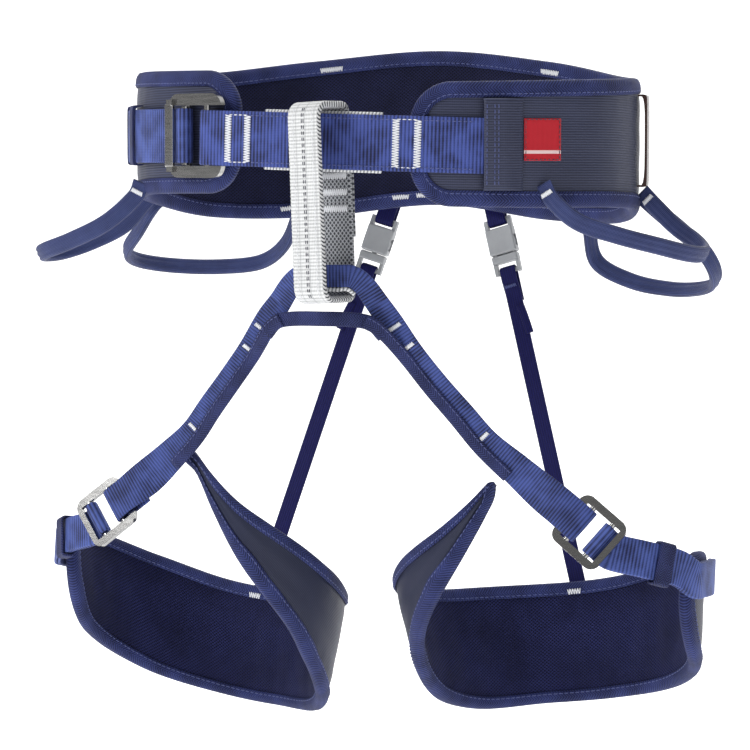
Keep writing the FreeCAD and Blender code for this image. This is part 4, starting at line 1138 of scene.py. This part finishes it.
def belay_path(step, out_by=0.0):
    """Middle of the loop's webbing seen from the side, as a closed line that starts low on the rear band."""
    half = BELAY_DEPTH / 2 - BELAY_THICK / 2 + out_by
    top, bottom = BELAY_TOP - BELAY_THICK / 2 + out_by, BELAY_BOTTOM + BELAY_THICK / 2 - out_by
    front_r = BELAY_FRONT_CORNER - BELAY_THICK / 2 + out_by
    rear_r = BELAY_REAR_CORNER - BELAY_THICK / 2 + out_by
    middle = (top + bottom) / 2
    corners = [(0, half, middle), (0, half, bottom), (0, -half, bottom), (0, -half, top), (0, half, top),
               (0, half, middle)]
    return rounded_path(corners, (rear_r, front_r, front_r, rear_r), step)[:-1]


loop = belay_path(1.2)
loop_across = hang(loop + vec(1, 0, 0)) - hang(loop)
made = strap("belay_loop", hang(loop), loop_across, BELAY_WIDTH, BELAY_THICK, "belay", 0.0, True)
made.data.materials.append(FINISH["belay_rear"])
local_y = np.repeat(loop[:, 1], len(strap_section(BELAY_WIDTH, BELAY_THICK)))
for face in made.data.polygons:
    rear = np.mean([local_y[k] for k in face.vertices]) > BELAY_DEPTH / 2 - 5.0
    face.material_index = 1 if rear else 0
settle(made, "belay_loop", ("belay_loop_webbing",))

patch = np.array([(0, BELAY_DEPTH / 2 + 1.35, z) for z in np.linspace(-66, -20, 30)])
patch_across = hang(patch + vec(1, 0, 0)) - hang(patch)
settle(strap("belay_overlap", hang(patch), patch_across, BELAY_WIDTH - 1, 2.0, "belay_rear", 0.0),
       "belay_loop", ("belay_loop_overlap",))
face_line = belay_path(1.2, BELAY_THICK / 2)
on_front = face_line[(face_line[:, 1] < -BELAY_DEPTH / 2 + 3.0)]
seam_rows, faint_rows = [], []
for x, store in ((-0.7, seam_rows), (0.7, seam_rows), (-7.6, faint_rows), (7.6, faint_rows)):
    line = hang(on_front + vec(x, 0, 0))
    normal = hang(vec(0, -1, 0)) - hang(vec(0, 0, 0))
    store += dashes(line, normal, 2.4, 1.5, 0.3)
sew("belay_seam", seam_rows, "dark_thread", "belay_loop")
sew("belay_side_seams", faint_rows, "white_thread", "belay_loop")
rows = []
side_way, out_way = hang(vec(1, 0, 0)) - hang(vec(0, 0, 0)), hang(vec(0, 1, 0)) - hang(vec(0, 0, 0))
down_way = hang(vec(0, 0, 1)) - hang(vec(0, 0, 0))
for z in (-25, -36, -47):
    centre = hang(vec(0, BELAY_DEPTH / 2 + 2.35, z))
    rows += zigzag(centre, side_way, down_way, out_way, 21.0, 4.2, 1.6, 0.4)
    centre = hang(vec(0, BELAY_DEPTH / 2 - BELAY_THICK - 0.02, z))
    rows += zigzag(centre, side_way, down_way, -out_way, 21.0, 4.2, 1.6, 0.4)
sew("belay_tacks", rows, "white_thread", "belay_loop")


# ---------------------------------------------------------------- leg straps
def mirrored(side, point):
    return vec(point[0] * side, point[1], point[2])


def both_halves(points):
    right = [vec(*p) for p in points]
    return [vec(-p[0], p[1], p[2]) for p in right[:0:-1]] + right


def faced(points, facings):
    """Width directions for webbing whose broad side faces the given directions."""
    last = len(points) - 1
    return np.array([unit(np.cross(unit(points[min(i + 1, last)] - points[max(i - 1, 0)]), facing))
                     for i, facing in enumerate(facings)])


def swept(name, points, across, widths, thick, finish, step=1.6, crown=0.1):
    rows = spline(np.hstack((np.array(points), across, np.array(widths, float)[:, None])), step)
    return strap(name, rows[:, :3], rows[:, 3:6], rows[:, 6], thick, finish, crown), rows


def consistent(across):
    """The same width directions with none of them flipped against the one before."""
    across = np.array(across, float)
    for i in range(1, len(across)):
        if across[i] @ across[i - 1] < 0:
            across[i] = -across[i]
    return across


arch = [p + vec(ARCH_SHIFT * (1 - (p[0] / BRIDGE[-1][0]) ** 2), 0, 0) for p in both_halves(BRIDGE)]
arch_widths = BRIDGE_WIDTHS[:0:-1] + BRIDGE_WIDTHS
arch_across = faced(arch, [FRONT] * len(arch))
made, _ = swept("leg_bridge", arch[1:-1], arch_across[1:-1], arch_widths[1:-1], LEG_WEB_THICK,
                "leg_webbing")
settle(made, "leg_bridge", ("leg_bridge_webbing",))
under = [p + a * (w / 2 + 0.45 + 1.3) for p, a, w in zip(arch, arch_across, arch_widths)]
made, _ = swept("lower_protector", under[2:-2], arch_across[2:-2], [2.6] * (len(under) - 4), 1.8,
                "protector", 1.0)
settle(made, "leg_bridge", ("lower_tie_in_protector",))
cross = both_halves(CROSS_STRAP)
made, _ = swept("cross_strap", cross, faced(cross, [FRONT] * len(cross)), [10.0] * len(cross), 2.4,
                "strap_twill")
settle(made, "leg_bridge", ("leg_cross_strap",))


def leg_buckle_axes(side):
    along = unit(mirrored(side, LEG_BUCKLE_ALONG))
    out = mirrored(side, LEG_BUCKLE_OUT)
    return mirrored(side, LEG_BUCKLE), along, unit(out - along * (out @ along))


def leg_buckle_point(side, along_by, out_by):
    origin, along, out = leg_buckle_axes(side)
    return origin + along * along_by + out * out_by


def half_turn(side, centre, start_way):
    return [leg_buckle_point(side, centre + start_way * LEG_TURN * math.sin(math.radians(a)),
                             LEG_TURN * math.cos(math.radians(a))) for a in range(0, 181, 15)]


def leg_surface(side, angle, below, offset):
    """A place off a leg pad's middle surface, so far below its upper edge."""
    low, high, out = leg_base(side)(angle)
    return high - unit(high - low) * below + out * offset


def across_joint(made, replaced):
    """Webbing that runs between the bridge and a leg loop: bakes its place into its mesh and hides the CAD
    parts that it replaces.
    """
    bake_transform(made)
    if replaced:
        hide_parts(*replaced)


for side in (LEFT, RIGHT):
    tag = SIDE_NAME[side]
    loop_body = "leg_loop_" + tag
    _, along, out = leg_buckle_axes(side)
    wide = np.cross(along, out)
    shoulder = [vec(p[0] * side + ARCH_SHIFT * (1 - (p[0] / 44) ** 2), p[1], p[2]) for p in BRIDGE[-2:]]
    run = shoulder + [mirrored(side, p) for p in STRAP[1:]]
    lead = [leg_buckle_point(side, -20, LEG_TURN + 0.3)]
    turn = half_turn(side, -LEG_BAR, 1)
    back = [leg_buckle_point(side, -18, -LEG_TURN), leg_buckle_point(side, -31, -LEG_TURN)]
    points = run + lead + turn + back
    across = consistent(list(faced(run + lead, [FRONT] * len(run) + [out]))
                        + [wide] * (len(turn) + len(back)))
    widths = [16.5, 17.4] + STRAP_WIDTHS[1:-1] + [25.0] * (len(turn) + len(back) + 1)
    made, strap_rows = swept("leg_strap_webbing_" + tag, points, across, widths, LEG_WEB_THICK, "leg_webbing")
    across_joint(made, ("leg_strap_" + tag,))
    down = faced(run, [FRONT] * len(run))
    edge = [mirrored(side, p) for p in ((30, -121.6, -121.2), (37, -119.6, -125.2), (43.5, -117.0, -131.5))]
    for point, wide_way, width in zip(run[2:-1], down[2:-1], widths[2:]):
        low = wide_way if wide_way[2] < 0 else -wide_way
        edge.append(point + low * (width / 2 - 4.0) + FRONT * (LEG_WEB_THICK / 2 + 0.35 + 0.8))
    made, edge_rows = swept("leg_strap_edging_" + tag, edge, consistent(faced(edge, [FRONT] * len(edge))),
                            [9.8, 9.4, 9.0] + [9.0] * (len(edge) - 3), 1.6, "strap_twill", crown=0.5)
    across_joint(made, ("leg_strap_binding_" + tag,))
    out_rows = unit(np.cross(edge_rows[:, 3:6], along_of(edge_rows[:, :3])))
    out_rows *= np.where(out_rows[:, 1:2] > 0, -1, 1)
    wide_rows = unit(edge_rows[:, 3:6])
    wide_rows *= np.where(wide_rows[:, 2:] > 0, -1, 1)
    rows = dashes(edge_rows[:, :3] + out_rows * 1.0 - wide_rows * 3.2, out_rows, 2.4, 1.2, 0.32)
    made = merged("leg_strap_stitches_" + tag, rows, "blue_thread")
    across_joint(made, ())
    marks = []
    spots = {RIGHT: ((45.7, -112, -126.5), (57, -112, -139), (105, -98, -197.5)),
             LEFT: ((-51, -112, -127), (-62, -112, -139.5), (-108, -98, -195.5))}[side]
    for spot in spots:
        k = int(np.argmin(np.linalg.norm(strap_rows[:, :3] - vec(*spot), axis=1)))
        way = unit(strap_rows[k + 1, :3] - strap_rows[k - 1, :3])
        wide_way = unit(strap_rows[k, 3:6])
        face_out = unit(np.cross(wide_way, way))
        face_out = face_out if face_out[1] < 0 else -face_out
        marks += zigzag(strap_rows[k, :3] + face_out * 1.15, wide_way, way, face_out,
                        strap_rows[k, 6] * 0.62, 2.6, 1.2)
    made = merged("leg_strap_tacks_" + tag, marks, "white_thread")
    across_joint(made, ())

    under_by, over_by = WEB_OFFSET, WEB_OFFSET + LAYER_STEP + 0.2
    places = ((160, 17), (166, 17.2), (172, 17.5), (177, 17.8), (182, 18), (190, 18.5))
    free = [((226, -52, -286), (0.87, -0.49, 0.1)), ((209, -69, -279), (0.6, -0.79, 0.15))]
    facings = [leg_base(side)(angle)[2] for angle, _ in places] + [unit(mirrored(side, f)) for _, f in free]
    inner = [leg_surface(side, angle, below, under_by) for angle, below in places]
    inner += [mirrored(side, point) for point, _ in free]
    outer = [point + facing * (over_by - under_by) for point, facing in zip(inner, facings)]
    outer += [leg_buckle_point(side, a, b)
              for a, b in ((18.5, -3.4), (13.8, -2.9), (12.1, -0.4), (10.9, 2.5))]
    inner += [leg_buckle_point(side, a, b) for a, b in ((18.5, -6.6), (13.0, -5.4))]
    turn = half_turn(side, LEG_BAR, -1)
    across = consistent(list(faced(outer, facings + [out] * 4)) + [wide] * len(turn)
                        + list(faced(inner, facings + [out] * 2)[::-1]))
    points = outer + turn + inner[::-1]
    made, _ = swept("leg_tail_webbing_" + tag, points, across, [24.6] * len(points), LEG_WEB_THICK,
                    "adjusting", crown=0.0)
    settle(made, loop_body, ("leg_adjusting_webbing_" + tag,))

    centre = mirrored(side, (217.5, -61.5, -282.5)) + unit(mirrored(side, (0.75, -0.65, 0.1))) * 1.3
    keep_out = unit(mirrored(side, (0.72, -0.69, 0.1)))
    keep_along = mirrored(side, (0.70, 0.66, -0.28))
    keep_along = unit(keep_along - keep_out * (keep_along @ keep_out))
    keep_wide = np.cross(keep_out, keep_along)
    corners = [centre + keep_wide * a + keep_out * b for a, b in
               ((0, 4.3), (13.9, 4.3), (13.9, -4.3), (-13.9, -4.3), (-13.9, 4.3), (0, 4.3))]
    keeper = rounded_path(corners, (2.2,) * 4, 0.8)[:-1]
    settle(strap("leg_keeper_" + tag, keeper, keep_along, 12.0, 1.8, "strap_twill", 0.0, True), loop_body,
           ("leg_tail_keeper_" + tag,))


# ---------------------------------------------------------------- rear straps
def on_rear(side, points):
    """Places (across, down, back) points on a rear strap."""
    top = mirrored(side, REAR_TOP)
    down = unit(mirrored(side, REAR_AIM) - top)
    back = unit(vec(0, 1, 0) - down * down[1])
    points = np.atleast_2d(np.array(points, float))
    return top + points[:, :1] * np.cross(down, back) + points[:, 1:2] * down + points[:, 2:] * back


for side in (LEFT, RIGHT):
    tag = SIDE_NAME[side]
    body = "rear_strap_" + tag
    turn = CLIP_TURN
    upper = [(-2, turn), (FEMALE_BAR + turn, turn), (FEMALE_BAR + turn, -turn), (5, -turn)]
    lower = [(82, turn), (MALE_BAR - turn, turn), (MALE_BAR - turn, -turn), (66, -turn), (76, -0.6),
             (REAR_LENGTH[side], 0)]
    sideways = on_rear(side, (1, 0, 0))[0] - on_rear(side, (0, 0, 0))[0]
    backward = on_rear(side, (0, 0, 1))[0] - on_rear(side, (0, 0, 0))[0]
    downward = on_rear(side, (0, 1, 0))[0] - on_rear(side, (0, 0, 0))[0]
    for key, corners, radii, width, node in (
            ("rear_top_webbing_", upper, (turn, turn), 14.0, "rear_strap_upper_"),
            ("rear_elastic_", lower, (turn, turn, 12.0, 20.0), 12.0, "rear_strap_elastic_")):
        line = rounded_path([vec(0, a, b) for a, b in corners], radii, 1.0)
        settle(strap(key + tag, on_rear(side, line), sideways, width, ELASTIC_THICK, "elastic", 0.1), body,
               (node + tag,))
    tongue = [(side * across, down, back) for across, down, back in
              ((3.4, 86, -1.5), (4.4, 92, -1.8), (5.4, 100, -1.9), (6.2, 108, -1.9))]
    tongue = spline(on_rear(side, tongue), 1.0)
    settle(strap("rear_tongue_" + tag, tongue, sideways, 6.0, 1.7, "elastic", 0.2), body, ())
    rows = zigzag(on_rear(side, (0, 71, 3.8))[0], sideways, downward, backward, 9.0, 2.4, 1.2, 0.3)
    rows += zigzag(on_rear(side, (0, 71, -4.0))[0], sideways, downward, -backward, 9.0, 2.4, 1.2, 0.3)
    sew("rear_tacks_" + tag, rows, "blue_thread", body)


# ---------------------------------------------------------------- gear loops
def sleeve_section():
    """Flattened tube with three lengthwise ridges on each broad side."""
    half_w, half_t = GEAR_WIDTH / 2, GEAR_THICK / 2
    outline = []
    for a in np.radians(np.arange(0, 360, 9)):
        x, z = math.cos(a), math.sin(a)
        x = math.copysign(abs(x) ** 0.85, x)
        swell = 0.7 + 0.3 * abs(math.cos(x * 1.5 * math.pi)) ** 0.7
        outline.append((half_w * x, half_t * math.copysign(abs(z) ** 0.7, z) * swell))
    return np.array(outline)


SLEEVE = sleeve_section()


def sewn_end(place):
    """Where a gear loop's end is sewn down: on the belt's outer face, a little higher than the place."""
    angle = math.degrees(math.atan2(place[0] / WAIST_A, -place[1] / WAIST_B))
    return waist_point(angle, 6.6, place[2] + 10.0)


for name, places in GEAR_LOOPS.items():
    run = np.array(places, float)
    tilt = unit(np.cross(run[len(run) // 2] - run.mean(0), run[0] - run[-1]))
    run = np.vstack((sewn_end(run[0]), run, sewn_end(run[-1])))
    line = spline(run, 1.8)
    at = lengths(line)
    flatness = np.clip(np.minimum(at, at[-1] - at) / 20.0, 0, 1)
    flatness = 0.26 + 0.74 * flatness * flatness * (3 - 2 * flatness)
    tilts = np.broadcast_to(tilt, line.shape)
    made = strap("sleeve_" + name, line, tilts, GEAR_WIDTH, GEAR_THICK, "sleeve", 0.0, False, SLEEVE,
                 flatness)
    settle(made, name, (name,))
    rows = []
    for end, way, share in ((line[4], line[6] - line[2], flatness[4]),
                            (line[-5], line[-7] - line[-3], flatness[-5])):
        way = unit(way)
        wide_way = unit(tilt - way * (tilt @ way))
        high = np.cross(wide_way, way)
        for sign in (1, -1):
            place = end + high * sign * (GEAR_THICK / 2 * share + 0.15)
            rows += zigzag(place, wide_way, way, high * sign, 8.4, 3.0, 1.2, 0.4)
    sew("tacks_" + name, rows, "white_thread", name)


# ---------------------------------------------------------------- white tacks on the pads
def pad_mark(band, u, below, face, length, width):
    """A bar-tack on a pad, so far below its upper edge, on its outer (1) or inner (-1) face."""
    low, high, out = band.base(u)
    ahead = band.base(u + 0.5)[1] - band.base(u - 0.5)[1]
    up = unit(high - low)
    way = unit(ahead)
    place = high - up * below
    share = 1 - below / np.linalg.norm(high - low)
    lift = band.half_thickness(u, share) + LAYER_GAP + SKIN + 1.9
    rise = unit(up - way * (up @ way))
    return zigzag(place + out * face * lift, way, rise, out * face, length, width, 1.6, 0.45)


marks = []
for u, below, face in ((206.5, 7.5, -1), (148.0, 7.5, -1)):
    marks += pad_mark(waist_band, u, below, face, 16.0, 3.4)
for u, face in ((218, -1), (189, -1), (183, -1)):
    height = np.linalg.norm(waist_base(u)[1] - waist_base(u)[0])
    marks += pad_mark(waist_band, u, height - 7.5, face, 12.0, 3.2)
sew("waist_tacks", marks, "white_thread", "waist_belt")
for side in (LEFT, RIGHT):
    tag = SIDE_NAME[side]
    marks = pad_mark(leg_bands[side], 86, 6.5, -1, 9.0, 3.6)
    sew("leg_pad_tacks_" + tag, marks, "white_thread", "leg_loop_" + tag)

# ---------------------------------------------------------------- hard parts kept from the CAD
for name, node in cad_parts.items():
    if node.hide_render:
        continue
    metal = "buckle" in name and "release" not in name
    bright = name == "waist_buckle_floating_bar"
    node.data.materials.clear()
    node.data.materials.append(FINISH["steel_bright" if bright else "steel" if metal else "plastic"])

# ---------------------------------------------------------------- floor, light and camera
low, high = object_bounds()
floor_z = low.z - 0.004


def backdrop():
    """A pale floor that curves up into a wall far behind the object."""
    profile = [(-6.0, 0.0), (2.2, 0.0), (3.0, 0.08), (3.6, 0.35), (3.95, 0.9), (4.05, 1.6), (4.08, 7.0)]
    line = spline(np.array([(0, y, z) for y, z in profile]), 0.12)
    points = [(x, y, z + floor_z) for x in (-7.0, 7.0) for y, z in line[:, 1:]]
    count = len(line)
    faces = [[k, k + 1, count + k + 1, count + k] for k in range(count - 1)]
    mesh = bpy.data.meshes.new("backdrop")
    mesh.from_pydata(points, [], faces)
    mesh.polygons.foreach_set("use_smooth", [True] * len(faces))
    pale = bpy.data.materials.new("pale_paper")
    pale.use_nodes = True
    shader = pale.node_tree.nodes["Principled BSDF"]
    shader.inputs["Base Color"].default_value = (0.93, 0.93, 0.93, 1)
    shader.inputs["Roughness"].default_value = 0.9
    shader.inputs["Emission Color"].default_value = (1, 1, 1, 1)
    shader.inputs["Emission Strength"].default_value = PAPER_GLOW
    mesh.materials.append(pale)
    made = bpy.data.objects.new("backdrop", mesh)
    bpy.context.scene.collection.objects.link(made)


def area_light(name, place, target, size, power):
    data = bpy.data.lights.new(name, "AREA")
    data.shape, data.size, data.size_y, data.energy = "RECTANGLE", size[0], size[1], power
    made = bpy.data.objects.new(name, data)
    bpy.context.scene.collection.objects.link(made)
    made.location = place
    aim(made, target)


def aim(made, target):
    way = Vector(target) - Vector(made.location)
    made.rotation_mode = "QUATERNION"
    made.rotation_quaternion = way.to_track_quat("-Z", "Y")


backdrop()
area_light("key", (-1.7, -1.8, 1.3), (0, 0, -0.1), (1.2, 1.0), 50)
area_light("fill", (1.9, -1.7, 0.5), (0, 0, -0.15), (1.4, 1.2), 7)
area_light("top", (0.1, 0.3, 2.2), (0, 0, -0.1), (1.6, 1.6), 20)
area_light("rear", (-0.4, 2.0, 1.2), (0, 0, -0.1), (1.4, 1.0), 12)
world = bpy.data.worlds.new("studio")
world.use_nodes = True
world.node_tree.nodes["Background"].inputs[0].default_value = (1, 1, 1, 1)
world.node_tree.nodes["Background"].inputs[1].default_value = WORLD_LIGHT
bpy.context.scene.world = world
bpy.context.scene.view_settings.view_transform = "Standard"

camera_data = bpy.data.cameras.new("camera")
camera_data.lens, camera_data.sensor_width = LENS, SENSOR
camera = bpy.data.objects.new("camera", camera_data)
bpy.context.scene.collection.objects.link(camera)
camera.location = CAMERA_PLACE
aim(camera, CAMERA_TARGET)
bpy.context.scene.camera = camera
